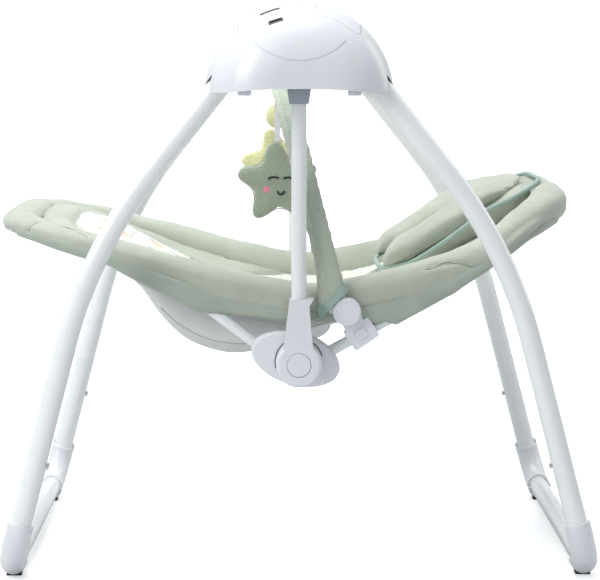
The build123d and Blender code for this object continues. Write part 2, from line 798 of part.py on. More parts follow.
# The padded rail is a ring seen from above, and follows the seat's curve seen from the side.
with BuildPart() as seat_bumper:
    with BuildSketch(Plane.XZ):
        with BuildLine():
            top = Spline(rail_top)
            bottom = Spline(rail_bottom)
            ThreePointArc(top @ 1, (head_x - 1, 397), bottom @ 1)
            ThreePointArc(bottom @ 0, (foot_x + 1, 372), top @ 0)
        make_face()
    extrude(amount=rail_outer_y + 1, both=True)
    with BuildSketch(Plane.XY.offset(200)):
        plan(foot_x, head_x, rail_outer_y, rail_corner)
        plan(
            foot_x + rail_width,
            head_x - rail_width,
            rail_outer_y - rail_width,
            rail_corner - rail_width,
            Mode.SUBTRACT,
        )
    extrude(amount=300, mode=Mode.INTERSECT)
    for room in tube_room:
        add(room.part, mode=Mode.SUBTRACT)
write(seat_bumper, "seat_bumper")

# The sling under the seat is a thin-walled tub, and the pad fills it up to the seat's surface.
rim_line = raised(rail_bottom, 10)


def between(lower, upper, half_width):
    """The solid between two lines in the side view, this wide on each side of the middle."""
    with BuildPart() as solid:
        with BuildSketch(Plane.XZ):
            with BuildLine():
                low = Spline(lower)
                high = Spline(upper)
                Line(low @ 0, high @ 0)
                Line(low @ 1, high @ 1)
            make_face()
        extrude(amount=half_width, both=True)
    return solid


tub_ends = (foot_x + rail_width + 1, head_x - rail_width - 1)
tub_outside = between(tub_line, rim_line, tub_half_width)
tub_inside = between(raised(tub_line, cloth), raised(rim_line, 20), tub_half_width - cloth)
pad_body = between(raised(tub_line, cloth + FREE), pad_line, tub_half_width - cloth - FREE)
tub_corner = rail_corner - rail_width - 1

with BuildPart() as seat_sling:
    add(tub_outside.part)
    add(tub_inside.part, mode=Mode.SUBTRACT)
    with BuildSketch(Plane.XY.offset(200)):
        plan(*tub_ends, tub_half_width, tub_corner)
    extrude(amount=300, mode=Mode.INTERSECT)
    for room in tube_room:
        add(room.part, mode=Mode.SUBTRACT)
write(seat_sling, "seat_sling")

with BuildPart() as seat_pad:
    add(pad_body.part)
    with BuildSketch(Plane.XY.offset(200)):
        plan(*tub_ends, tub_half_width, tub_corner)
    extrude(amount=300, mode=Mode.INTERSECT)
write(seat_pad, "seat_pad")

# The pillow is a horseshoe on a flat back, open towards the seat.
with BuildPart() as lobe_gap:
    add(between(lobe_line, raised(lobe_line, 80), lobe_gap_half_width + 5).part)
    with BuildSketch(Plane.XY.offset(200)):
        plan(0, lobe_gap_end_x, lobe_gap_half_width, lobe_gap_corner)
    extrude(amount=300, mode=Mode.INTERSECT)

with BuildPart() as rail_room:
    add(between(raised(rail_top, -60), raised(rail_top, FREE), pillow_half_width + 5).part)
    brick(head_x - rail_width - 1.5, head_x, -150, 150, 200, 500, mode=Mode.INTERSECT)

with BuildPart() as head_pillow:
    with BuildSketch(Plane.XZ):
        with BuildLine():
            upper = Spline(pillow_top)
            lower = Spline(pillow_bottom)
            ThreePointArc(upper @ 0, (76, 311), lower @ 0)
            ThreePointArc(lower @ 1, (269, 405), upper @ 1)
        make_face()
    extrude(amount=pillow_half_width, both=True)
    with BuildSketch(Plane.XY.offset(200)):
        plan(*pillow_ends, pillow_half_width, pillow_corner)
    extrude(amount=300, mode=Mode.INTERSECT)
    under = between(raised(pad_line, -60), raised(pad_line, FREE), pillow_half_width + 5)
    add(under.part, mode=Mode.SUBTRACT)
    add(lobe_gap.part, mode=Mode.SUBTRACT)
    add(rail_room.part, mode=Mode.SUBTRACT)
write(head_pillow, "head_pillow")

# The harness lies on the pad: shoulder straps, a lap strap and a crotch strap, round a buckle.
strap_layer = between(raised(pad_line, FREE), raised(pad_line, FREE + strap_thickness), 160)
with BuildPart() as harness_straps:
    brick(buckle_area[1] + FREE, 60, 30, 30 + strap_width, 250, 330)
    brick(-10 - strap_width / 2, -10 + strap_width / 2, buckle_half_width + FREE, 150, 250, 330)
    mirror(about=Plane.XZ)
    brick(-72, buckle_area[0] - FREE, -11, 11, 250, 330)
    add(strap_layer.part, mode=Mode.INTERSECT)
write(harness_straps, "harness_straps")

with BuildPart() as harness_buckle:
    with BuildSketch(Plane.XY.offset(buckle_bottom)):
        with Locations((sum(buckle_area) / 2, 0)):
            RectangleRounded(buckle_area[1] - buckle_area[0], 2 * buckle_half_width, 9)
    extrude(amount=13)
    fillet(harness_buckle.faces().sort_by(Axis.Z)[-1].edges(), 3.0)
    with Locations((sum(buckle_area) / 2, 0, buckle_bottom + 13)):
        Cylinder(8 + FREE, 10, mode=Mode.SUBTRACT)
write(harness_buckle, "harness_buckle")

with BuildPart() as buckle_button:
    with Locations((sum(buckle_area) / 2, 0, buckle_bottom + 11.5)):
        Cylinder(8, 3.4)
    fillet(buckle_button.faces().sort_by(Axis.Z)[-1].edges(), 1.0)
write(buckle_button, "buckle_button")

# =====================================================================================
# Toy bar
# =====================================================================================

# The bar lies in a plane that leans towards the foot end: its own x runs across, its y up the bar.
bar_up = (-sin(radians(bar_lean)), 0, cos(radians(bar_lean)))
bar_plane = Plane(
    (bar_pivot[0] - bar_offset, 0, bar_pivot[1]), x_dir=(0, 1, 0), z_dir=(bar_up[2], 0, -bar_up[0])
)
clip_centre = (66.4, 257.9)
clip_tilt = 34.5
clip_length = 31.0
clip_height = 23.5


def bar_line(foot):
    """The arch's centre line, from this far above its pivot on both sides."""
    with BuildLine(bar_plane) as line:
        FilletPolyline(
            (-bar_y, foot), (-bar_y, bar_height), (bar_y, bar_height), (bar_y, foot), radius=bar_corner
        )
    return line.line


def bar_section(path):
    """The plane square to the bar's near foot, with its x across the swing."""
    return Plane(path @ 0, x_dir=(0, 1, 0), z_dir=path % 0)


core_line = bar_line(bar_foot - 12)
sleeve_line = bar_line(bar_foot)

with BuildPart() as toy_bar_core:
    with BuildSketch(bar_section(core_line)):
        Rectangle(3, 17)
    sweep(path=core_line)
write(toy_bar_core, "toy_bar_core")

with BuildPart() as toy_bar_sleeve:
    with BuildSketch(bar_section(sleeve_line)):
        RectangleRounded(bar_thickness, bar_width, 5)
        Rectangle(3 + FREE, 17 + FREE, mode=Mode.SUBTRACT)
    sweep(path=sleeve_line)
write(toy_bar_sleeve, "toy_bar_sleeve")

with BuildPart() as bar_boss:
    rod(*bar_pivot, bar_boss_radius, bar_y - 2.8, bar_y + 7.5)
    fillet(bar_boss.faces().sort_by(Axis.Y)[0].edges(), 2.0)
    rod(*bar_pivot, bar_boss_radius - 3.4, bar_y + 6.7, bar_y + 8, mode=Mode.SUBTRACT)
    with BuildSketch(bar_plane.offset(-10)):
        with Locations((-bar_y - 0.6, bar_foot / 2)):
            Rectangle(6.8, bar_foot - 0.6)
    extrude(amount=20)
    with BuildSketch(bar_section(core_line)):
        Rectangle(3 + 2 * SEATED, 17 + 2 * SEATED)
    extrude(amount=bar_foot, mode=Mode.SUBTRACT)
    rod(*bar_pivot, 4 + RUNNING, bar_y - 4, bar_y + 3, mode=Mode.SUBTRACT)
write_group(bar_boss, "toy_bar_bosses")

with BuildPart() as bar_clip:
    with BuildSketch(side(hub_inner_y + 1)):
        with Locations(Location((*clip_centre, 0), (0, 0, clip_tilt))):
            RectangleRounded(clip_length, clip_height, 2.5)
    extrude(amount=19)
    with BuildSketch(side(rail_outer_y + FREE)):
        with Locations(bar_pivot):
            Circle(11)
        with BuildLine():
            Polyline((40, 278), (62, 286), (74, 262), (54, 254), close=True)
        make_face()
    extrude(amount=bar_y - 2.8 - FREE - rail_outer_y - FREE)
    rod(*bar_pivot, 4, rail_outer_y + FREE, bar_y + 2.5)
    add(tube_seats[1].part, mode=Mode.SUBTRACT)
    with BuildSketch(side(bar_y - 4.2)):
        with Locations(Location((*clip_centre, 0), (0, 0, clip_tilt))):
            RectangleRounded(13.5, 12.5, 3)
            RectangleRounded(11.9, 10.9, 2.4, mode=Mode.SUBTRACT)
    extrude(amount=5, mode=Mode.SUBTRACT)
write_group(bar_clip, "toy_bar_clips")


toy_x = bar_pivot[0] - bar_offset + bar_height * bar_up[0]


def ribbon(y, bottom_z):
    """The ribbon that a toy hangs from, added to the part being built."""
    with Locations((toy_x, -y, (bottom_z + toy_hang_z) / 2)):
        Box(ribbon_width, 1.5, toy_hang_z - bottom_z)


def star(y, centre_z, tip, tilt):
    """A soft five-pointed star on its ribbon, facing across the swing."""
    corners = []
    for i in range(10):
        radius = tip if i % 2 == 0 else 0.58 * tip
        corners.append((radius * cos(radians(36 * i)), radius * sin(radians(36 * i))))
    with BuildPart() as toy:
        with BuildSketch(side(y - toy_thickness / 2)):
            with Locations(Location((toy_x, centre_z, 0), (0, 0, tilt))):
                Polygon(*corners, align=None)
        extrude(amount=toy_thickness)
        fillet(toy.edges().filter_by(Axis.Y), 7)
        ribbon(y, centre_z)
    return toy


write(star(60, 408, 48, 94), "sage_star_toy")
write(star(-60, 424, 44, 102), "yellow_star_toy")

with BuildPart() as ball_toy:
    with Locations((toy_x, 0, 481)):
        Sphere(14)
    ribbon(0, 481)
write(ball_toy, "ball_toy")
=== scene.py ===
"""The looks of the folding baby swing: its materials, soft goods, light and camera, round the CAD frame.

Everything is in metres in the frame's own axes: +X to the head end, -Y to the near side, +Z up.
"""

import json
from math import cos, exp, hypot, pi, radians, sin, sqrt

import bmesh
import bpy
import numpy as np
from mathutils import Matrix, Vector, noise
from mathutils.bvhtree import BVHTree


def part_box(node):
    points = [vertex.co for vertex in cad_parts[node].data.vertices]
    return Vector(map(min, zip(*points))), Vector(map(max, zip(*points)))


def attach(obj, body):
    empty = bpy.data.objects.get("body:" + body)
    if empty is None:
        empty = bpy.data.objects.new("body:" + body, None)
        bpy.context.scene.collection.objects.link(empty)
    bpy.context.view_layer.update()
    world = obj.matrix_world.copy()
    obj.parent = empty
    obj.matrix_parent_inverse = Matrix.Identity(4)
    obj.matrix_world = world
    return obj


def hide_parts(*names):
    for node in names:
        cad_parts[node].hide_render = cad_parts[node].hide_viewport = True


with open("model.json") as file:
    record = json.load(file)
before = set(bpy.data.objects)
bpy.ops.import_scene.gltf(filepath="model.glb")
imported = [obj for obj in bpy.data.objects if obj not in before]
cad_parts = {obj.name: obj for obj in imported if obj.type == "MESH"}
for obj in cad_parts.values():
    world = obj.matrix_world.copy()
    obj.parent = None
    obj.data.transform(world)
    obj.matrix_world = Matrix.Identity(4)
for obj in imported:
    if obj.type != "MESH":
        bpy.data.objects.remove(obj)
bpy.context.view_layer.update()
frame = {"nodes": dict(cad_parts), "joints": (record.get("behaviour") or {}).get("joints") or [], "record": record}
scene = bpy.context.scene

# ---- Driving dimensions, in metres ----
rail_width = 0.038
rail_corner = 0.120
rail_straight = (-0.20, 0.19)  # between these x the rail keeps clear of its corner bends
tube_cover = 0.0030  # how much further out the rail's outer side goes, over the seat tubes
rail_over_tube = 0.0022
skirt_over_tube = 0.0016
skirt_span = (-0.285, 0.262)  # past these x the skirt is tucked in behind the rail
skirt_proud = 0.0012
skirt_tuck = 0.0045
skirt_turn = 0.005
skirt_hem = 0.026
liner_overlap = 0.006
liner_thickness = 0.013
liner_swell = 0.003  # left for the simulation to fill
print_foot_x = -0.244
print_head_x = 0.262
print_side = 0.146
print_corner = 0.060
sewn_width = 0.004
sling_half_width = 0.165
sling_thickness = 0.0012
flap_thickness = 0.0016
sling_power = 5.5
pillow_x = (0.092, 0.268)
pillow_corner = 0.050
pillow_half_width = 0.118
pillow_roll_x = (0.094, 0.165)  # the wings' tips, and where their round end starts
pillow_roll_end = 0.058
pillow_roll_y = 0.083
pillow_roll_half = 0.034
panel_half_width = 0.062  # the pillow's cream middle
panel_end_x = 0.215
bar_y = 0.2135
bar_width = 0.0272
bar_thickness = 0.011
bar_foot = 0.026
bar_height = 0.262
bar_corner = 0.165
bar_offset = 0.0082
bar_lean = radians(14.3)
bar_flare_length = 0.045
bar_foot_drop = 0.022
bar_foot_flare = 0.008
bar_foot_reach = 0.006
bar_foot_swell = 0.0030
strap_width = 0.025
strap_thickness = 0.0018
ribbon_width = 0.0065
ribbon_thickness = 0.0008
ball_radius = 0.0138
SIDES = (("near", -1), ("far", 1))
ACROSS = np.sin(np.linspace(-pi / 2, pi / 2, 60))  # from one side to the other, closer together at the edges


# ======== Materials ========

WAVE = 0.314  # a wave texture of this scale has one band in a metre


class Shader:
    """A node material being built: its principled shader, and short ways to add nodes to it."""

    def __init__(self, name, roughness=0.5, **sockets):
        self.material = bpy.data.materials.new(name)
        self.material.use_nodes = True
        self.tree = self.material.node_tree
        self.principled = self.tree.nodes["Principled BSDF"]
        self.principled.inputs["Roughness"].default_value = roughness
        for socket, value in sockets.items():
            self.principled.inputs[socket.replace("_", " ")].default_value = value
        self.place = self.tree.nodes.new("ShaderNodeTexCoord").outputs["Object"]

    def put(self, socket, value):
        """Link another node's output to a socket, or set the socket to a value."""
        if isinstance(value, bpy.types.NodeSocket):
            self.tree.links.new(value, socket)
        else:
            socket.default_value = value

    def node(self, kind, links=(), **settings):
        made = self.tree.nodes.new(kind)
        for key, value in settings.items():
            setattr(made, key, value)
        for socket, value in dict(links).items():
            self.put(made.inputs[socket], value)
        return made

    def ribs(self, pitch, axis, **look):
        """Straight ribs across one axis, with this pitch."""
        links = {"Vector": self.place, "Scale": WAVE / pitch, **look}
        return self.node("ShaderNodeTexWave", links, wave_type="BANDS", bands_direction=axis).outputs["Fac"]

    def noise(self, scale, detail=3.0, stretch=(1, 1, 1)):
        """Noise whose size is given in metres for one lump."""
        placed = self.node("ShaderNodeMapping", {"Vector": self.place, "Scale": [k / scale for k in stretch]})
        made = self.node("ShaderNodeTexNoise", {"Vector": placed.outputs[0], "Scale": 1.0, "Detail": detail})
        return made.outputs[0]

    def ramp(self, value, stops):
        made = self.node("ShaderNodeValToRGB", {"Fac": value})
        made.color_ramp.elements[0].position = stops[0][0]
        made.color_ramp.elements[0].color = (*stops[0][1], 1)
        made.color_ramp.elements[1].position = stops[-1][0]
        made.color_ramp.elements[1].color = (*stops[-1][1], 1)
        for position, color in stops[1:-1]:
            made.color_ramp.elements.new(position).color = (*color, 1)
        return made.outputs[0]

    def math(self, operation, a, b=0.0):
        made = self.node("ShaderNodeMath", operation=operation)
        for socket, value in zip(made.inputs, (a, b)):
            self.put(socket, value)
        return made.outputs[0]

    def mix(self, share, a, b):
        made = self.node("ShaderNodeMix", data_type="RGBA")
        self.put(made.inputs[0], share)
        for socket, value in ((made.inputs[6], a), (made.inputs[7], b)):
            self.put(socket, value if isinstance(value, bpy.types.NodeSocket) else (*value, 1))
        return made.outputs[2]

    def color(self, value):
        self.tree.links.new(value, self.principled.inputs["Base Color"])
        return self

    def vary(self, base, scale=0.05, amount=0.06):
        """The base colour, a little lighter and darker from place to place."""
        dark = [c * (1 - amount) for c in base]
        light = [min(1.0, c * (1 + amount)) for c in base]
        return self.ramp(self.noise(scale), [(0.3, dark), (0.7, light)])

    def bump(self, height, strength, distance):
        made = self.node("ShaderNodeBump", {"Strength": strength, "Distance": distance, "Height": height})
        self.tree.links.new(made.outputs[0], self.principled.inputs["Normal"])
        return self


def weave(shader, pitch):
    """The height of a plain weave with this thread pitch: three crossing sets of ribs on an uneven ground."""
    sets = [shader.ribs(pitch, axis, Distortion=0.6) for axis in "XYZ"]
    crossed = shader.math("ADD", shader.math("ADD", sets[0], sets[1]), sets[2])
    return shader.math("ADD", crossed, shader.noise(0.004))


def plush(name, base, pile=0.0011, depth=0.0006, sheen=0.35):
    """A short soft pile: fine tufts over a gently uneven colour."""
    shader = Shader(name, 0.95, Sheen_Weight=sheen, Sheen_Roughness=0.45)
    tufts = shader.noise(pile, 4.0)
    broad = shader.vary(base, 0.035, 0.05)
    # The pile is darker where its tufts are low: painted shade in the hollows of the pile.
    painted_pile_shade = shader.ramp(tufts, [(0.3, [0.8] * 3), (0.65, [1.0] * 3)])
    shader.color(shader.node(
        "ShaderNodeMix", data_type="RGBA", blend_type="MULTIPLY",
        links={0: 0.55, 6: broad, 7: painted_pile_shade},
    ).outputs[2])
    return shader.bump(shader.math("ADD", tufts, shader.noise(pile * 5, 2.0)), 0.55, depth).material


def ribbed(name, base, pitch=0.0021):
    """A stretch cover with fine cross ribs."""
    shader = Shader(name, 0.95, Sheen_Weight=0.3, Sheen_Roughness=0.5)
    ribs = shader.ribs(pitch, "Z", Distortion=2.5, Detail=2.0)
    tufts = shader.noise(0.0009, 4.0)
    # The colour follows the ribs and tufts: painted shade, darker in their troughs.
    painted_rib_shade = shader.math("ADD", shader.math("MULTIPLY", ribs, 0.5), shader.math("MULTIPLY", tufts, 0.5))
    shader.color(shader.ramp(painted_rib_shade, [(0.25, [c * 0.86 for c in base]), (0.7, base)]))
    return shader.bump(shader.math("ADD", ribs, tufts), 0.6, 0.0005).material


def woven(name, base, pitch=0.0009, depth=0.0003):
    shader = Shader(name, 0.85, Sheen_Weight=0.15)
    shader.color(shader.vary(base, 0.04, 0.04))
    return shader.bump(weave(shader, pitch), 0.45, depth).material


def terry(name, base):
    """Looped towelling, with deeper and rounder tufts than the plush."""
    shader = Shader(name, 1.0, Sheen_Weight=0.5, Sheen_Roughness=0.6)
    loops = shader.node(
        "ShaderNodeTexVoronoi", {"Vector": shader.place, "Scale": 620.0, "Randomness": 1.0},
    ).outputs["Distance"]
    # The colour is darkest between the loops: painted shade in their hollows.
    painted_loop_shade = shader.ramp(loops, [(0.0, [min(1, c * 1.12) for c in base]), (0.75, [c * 0.62 for c in base])])
    shader.color(shader.mix(shader.noise(0.012), painted_loop_shade, [c * 0.94 for c in base]))
    return shader.bump(shader.math("MULTIPLY", loops, -1.0), 0.8, 0.0009).material


def moulded(name, base, roughness=0.32, coat=0.25):
    """Moulded plastic: a fine spark-eroded grain, slightly uneven gloss."""
    shader = Shader(name, roughness, Coat_Weight=coat, Coat_Roughness=0.12)
    shader.color(shader.vary(base, 0.06, 0.012))
    gloss = shader.ramp(shader.noise(0.02), [(0.2, [roughness * 0.85] * 3), (0.8, [roughness * 1.2] * 3)])
    shader.tree.links.new(gloss, shader.principled.inputs["Roughness"])
    return shader.bump(shader.noise(0.0005, 2.0), 0.12, 0.00008).material


def painted(name, base):
    """Powder paint on steel tube: glossy, with a faint orange peel."""
    shader = Shader(name, 0.22, Coat_Weight=0.5, Coat_Roughness=0.08)
    shader.color(shader.vary(base, 0.08, 0.012))
    return shader.bump(shader.noise(0.0022, 1.0), 0.10, 0.0001).material


def metal(name, base, roughness):
    """Turned or drawn metal with fine scratches along one way."""
    shader = Shader(name, roughness, Metallic=1.0)
    scratches = shader.noise(0.0012, 4.0, (1, 12, 1))
    shader.color(shader.ramp(scratches, [(0.3, [c * 0.88 for c in base]), (0.7, base)]))
    return shader.bump(scratches, 0.15, 0.00005).material


def rubber(name, base):
    shader = Shader(name, 0.8)
    shader.color(shader.vary(base, 0.01, 0.12))
    return shader.bump(shader.noise(0.0008, 3.0), 0.4, 0.0002).material


def printed_cloth(name, base):
    """Cream cloth with a loose generic print of orange dots and grey dashes."""
    shader = Shader(name, 0.88, Sheen_Weight=0.15)
    ground = shader.vary(base, 0.05, 0.02)
    cells = shader.node(
        "ShaderNodeTexVoronoi", {"Vector": shader.place, "Scale": 26.0, "Randomness": 0.8},
    )
    tint = shader.node("ShaderNodeSeparateColor", {0: cells.outputs["Color"]}).outputs[0]
    dot = shader.math("LESS_THAN", cells.outputs["Distance"], 0.30)
    warm = shader.math("MULTIPLY", dot, shader.math("GREATER_THAN", tint, 0.45))
    stretched = shader.node("ShaderNodeMapping", {
        "Vector": shader.place, "Scale": (26.0, 60.0, 26.0), "Rotation": (0, 0, 0.6),
    })
    dashes = shader.node(
        "ShaderNodeTexVoronoi", {"Vector": stretched.outputs[0], "Scale": 1.0, "Randomness": 0.9},
    )
    dash = shader.math("LESS_THAN", dashes.outputs["Distance"], 0.20)
    with_dots = shader.mix(warm, ground, (0.85, 0.50, 0.22))
    shader.color(shader.mix(dash, with_dots, (0.30, 0.31, 0.34)))
    return shader.bump(weave(shader, 0.0009), 0.4, 0.0003).material


def circuit(name):
    shader = Shader(name, 0.35, Coat_Weight=0.4)
    tracks = shader.node(
        "ShaderNodeTexBrick", {"Vector": shader.place, "Scale": 160.0, "Mortar Size": 0.03},
    ).outputs["Fac"]
    shader.color(shader.mix(tracks, (0.05, 0.24, 0.12), (0.12, 0.42, 0.22)))
    return shader.bump(tracks, 0.3, 0.0001).material


CREAM = (0.80, 0.80, 0.755)
dark_plastic = moulded("dark_plastic", (0.02, 0.02, 0.023), 0.45, 0.1)
sage_plush = plush("sage_plush", (0.475, 0.515, 0.435))
# A darker copy of the sage plush: painted shade for the cover's skirt, which faces down under the rail. The thread
# of the liner's outline seam takes it too.
shade_darkened_sage = plush("shade_darkened_sage", (0.42, 0.47, 0.40))
sage_bar = ribbed("sage_bar", (0.50, 0.555, 0.46))
# A lighter copy of the sleeve's fabric: painted light, for the side of the sleeve towards the front-left lamp.
sage_bar_painted_light = ribbed("sage_bar_painted_light", (0.54, 0.59, 0.49))
sage_terry = terry("sage_terry", (0.37, 0.43, 0.33))
yellow_terry = terry("yellow_terry", (0.83, 0.82, 0.45))
teal_tape = woven("teal_tape", (0.36, 0.49, 0.43), 0.0007)
cream_cloth = woven("cream_cloth", CREAM)
cream_print = printed_cloth("cream_print", CREAM)
sling_cloth = woven("sling_cloth", (0.80, 0.82, 0.80), 0.0007)
strap_web = woven("strap_web", (0.50, 0.54, 0.48), 0.0011, 0.0005)
white_ribbon = woven("white_ribbon", (0.86, 0.86, 0.85), 0.0005)
black_thread = woven("black_thread", (0.02, 0.02, 0.022), 0.0004)
seam_thread = woven("seam_thread", (0.30, 0.36, 0.29), 0.0004)
cream_thread = woven("cream_thread", (0.62, 0.62, 0.58), 0.0004)
pink_felt = plush("pink_felt", (0.85, 0.28, 0.38), 0.0006, 0.0003)
label_vinyl = moulded("label_vinyl", (0.86, 0.87, 0.87), 0.5, 0.0)

SLOT_MATERIALS = {
    "white_plastic": moulded("white_plastic", (0.77, 0.795, 0.825)),
    "grey_plastic": moulded("grey_plastic", (0.36, 0.40, 0.46), 0.4, 0.1),
    "dark_plastic": dark_plastic,
    "display_plastic": moulded("display_plastic", (0.05, 0.055, 0.062), 0.12, 0.8),
    "white_tube": painted("white_paint", (0.86, 0.89, 0.895)),
    "steel": metal("steel", (0.60, 0.60, 0.62), 0.28),
    "brass": metal("brass", (0.70, 0.52, 0.24), 0.30),
    "gear_plastic": moulded("gear_plastic", (0.80, 0.76, 0.64), 0.5, 0.0),
    "rubber": rubber("black_rubber", (0.035, 0.035, 0.038)),
    "board": circuit("board"),
    "cell": moulded("cell_sleeve", (0.05, 0.09, 0.16), 0.3, 0.6),
}
button_grey = moulded("pale_grey_plastic", (0.68, 0.71, 0.75), 0.4, 0.1)

# The CAD nodes that stay take the finish of their slot. The soft ones have none here: each is replaced.
node_slots = {row["node"]: row["material_slot"] for row in frame["record"]["subparts"]}
for node_name, node in frame["nodes"].items():
    finish = button_grey if "fold_buttons" in node_name else SLOT_MATERIALS.get(node_slots[node_name])
    if finish:
        for slot in node.material_slots:
            slot.material = finish


# ======== Mesh tools ========


def unit(value):
    return max(0.0, min(1.0, value))


def bent(value, power):
    """A sine or cosine raised to a power with its sign kept, which squares up a round outline."""
    return abs(value) ** power * (1 if value >= 0 else -1)


def rows_of(points):
    return np.array([list(p) for p in points])


def coordinates(mesh):
    flat = np.zeros(len(mesh.vertices) * 3)
    mesh.vertices.foreach_get("co", flat)
    return flat.reshape(-1, 3)


def piece(name, points, faces, material, body=None, slot=None):
    """A mesh object from points and faces, riding on a body."""
    mesh = bpy.data.meshes.new(name)
    mesh.from_pydata([tuple(p) for p in points], [], faces)
    mesh.update()
    mesh.polygons.foreach_set("use_smooth", [True] * len(mesh.polygons))
    mesh.materials.append(material)
    made = bpy.data.objects.new(name, mesh)
    scene.collection.objects.link(made)
    if body:
        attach(made, body)
    return made


def tidy_normals(made):
    work = bmesh.new()
    work.from_mesh(made.data)
    bmesh.ops.recalc_face_normals(work, faces=work.faces)
    work.to_mesh(made.data)
    work.free()


def net(rows, closed_rows=False, closed_columns=False, caps=False):
    """Points and four-sided faces of a net, from a list of equally long rows of points."""
    count, width = len(rows), len(rows[0])
    points = [p for row in rows for p in row]
    faces = []
    for i in range(count if closed_rows else count - 1):
        for j in range(width if closed_columns else width - 1):
            a, b = i * width + j, i * width + (j + 1) % width
            c, d = ((i + 1) % count) * width + (j + 1) % width, ((i + 1) % count) * width + j
            faces.append((a, b, c, d))
    if caps:
        faces.append(tuple(reversed(range(width))))
        faces.append(tuple(range((count - 1) * width, count * width)))
    return points, faces


def netted(name, rows, material, body, slot, **closing):
    """A piece made of a net, its faces turned outward."""
    points, faces = net(rows, **closing)
    made = piece(name, points, faces, material, body, slot)
    tidy_normals(made)
    return made


def shell(name, top, bottom, material, body, slot):
    """A closed piece from a top and a bottom grid of the same size."""
    rows = [list(t) + list(reversed(b)) for t, b in zip(top, bottom)]
    return netted(name, rows, material, body, slot, closed_columns=True, caps=True)


def superellipse(half_a, half_b, power, count):
    """Points (a, b) round a rounded outline, from a full ellipse (2) to nearly a rectangle (high)."""
    outline = []
    for i in range(count):
        angle = 2 * pi * i / count
        outline.append((half_a * bent(cos(angle), 2 / power), half_b * bent(sin(angle), 2 / power)))
    return outline


def directions(path, closed):
    """The unit tangent at each point of a path."""
    count = len(path)
    result = []
    for i in range(count):
        before = path[(i - 1) % count] if closed or i > 0 else path[i]
        after = path[(i + 1) % count] if closed or i < count - 1 else path[i]
        result.append((after - before).normalized())
    return result


def tube(name, path, outline, material, body, slot, closed=False, up=Vector((0, 0, 1))):
    """An outline swept along a path, its second axis kept as near to up as it can be."""
    path = [Vector(p) for p in path]
    rows = []
    for point, along in zip(path, directions(path, closed)):
        across = along.cross(up).normalized()
        upward = across.cross(along).normalized()
        rows.append([point + across * a + upward * b for a, b in outline])
    return netted(name, rows, material, body, slot, closed_rows=closed, closed_columns=True, caps=not closed)


def spline(knots, count):
    """Evenly spread points of a smooth curve through a few points."""
    knots = [Vector(k) for k in knots]
    ends = [2 * knots[0] - knots[1], *knots, 2 * knots[-1] - knots[-2]]
    dense = []
    for a, b, c, d in zip(ends, ends[1:], ends[2:], ends[3:]):
        for step in range(20):
            t = step / 20
            dense.append(0.5 * (
                2 * b + (c - a) * t + (2 * a - 5 * b + 4 * c - d) * t * t + (3 * b - a - 3 * c + d) * t ** 3
            ))
    dense.append(knots[-1])
    return evenly(dense, count)


def evenly(path, count):
    """A path's points spread out again at equal distances along it."""
    data = rows_of(path)
    length = np.concatenate([[0], np.cumsum(np.linalg.norm(np.diff(data, axis=0), axis=1))])
    wanted = np.linspace(0, length[-1], count)
    return [Vector([float(np.interp(w, length, data[:, k])) for k in range(3)]) for w in wanted]


def linear(knots, x):
    """The value at x, on straight lines between a few (x, value) points."""
    xs, values = zip(*knots)
    return float(np.interp(x, xs, values))


def tree_of(thing):
    """The tree that finds the points of a piece's surface."""
    mesh = thing.data
    corners = [v.co.copy() for v in mesh.vertices]
    return BVHTree.FromPolygons(corners, [tuple(p.vertices) for p in mesh.polygons])


def height(tree, x, y, from_above=True):
    """Where a vertical line at (x, y) meets a surface, from above or from below."""
    start, down = (1.0, -1) if from_above else (-1.0, 1)
    hit = tree.ray_cast(Vector((x, y, start)), Vector((0, 0, down)))[0]
    return None if hit is None else hit.z


def replace_mesh(thing, mesh):
    old = thing.data
    thing.modifiers.clear()
    thing.data = mesh
    bpy.data.meshes.remove(old)


def evaluated_mesh(thing):
    graph = bpy.context.evaluated_depsgraph_get()
    graph.update()
    return bpy.data.meshes.new_from_object(thing.evaluated_get(graph))


def smooth_faces(thing):
    thing.data.polygons.foreach_set("use_smooth", [True] * len(thing.data.polygons))


def thicken(thing, thickness):
    """Give an open sheet its thickness, half on each side."""
    solid = thing.modifiers.new("thickness", "SOLIDIFY")
    solid.thickness = thickness
    solid.offset = 0
    replace_mesh(thing, evaluated_mesh(thing))


def held_near(marks, width, axes=(0, 1, 2), most=1.0):
    """How firmly a point is held near some sewn points, from 0 to most: a function of the point."""
    axes = list(axes)
    data = rows_of(marks)[:, axes]

    def sewn(point):
        gap = np.linalg.norm(data - np.array(point)[axes], axis=1).min()
        return most * exp(-(gap / width) ** 2)

    return sewn


def remesh(thing, voxel):
    """The same closed shape in even small faces."""
    modifier = thing.modifiers.new("even", "REMESH")
    modifier.mode = "VOXEL"
    modifier.voxel_size = voxel
    smoothing = thing.modifiers.new("smooth", "SMOOTH")
    smoothing.factor = 0.5
    smoothing.iterations = 4
    replace_mesh(thing, evaluated_mesh(thing))


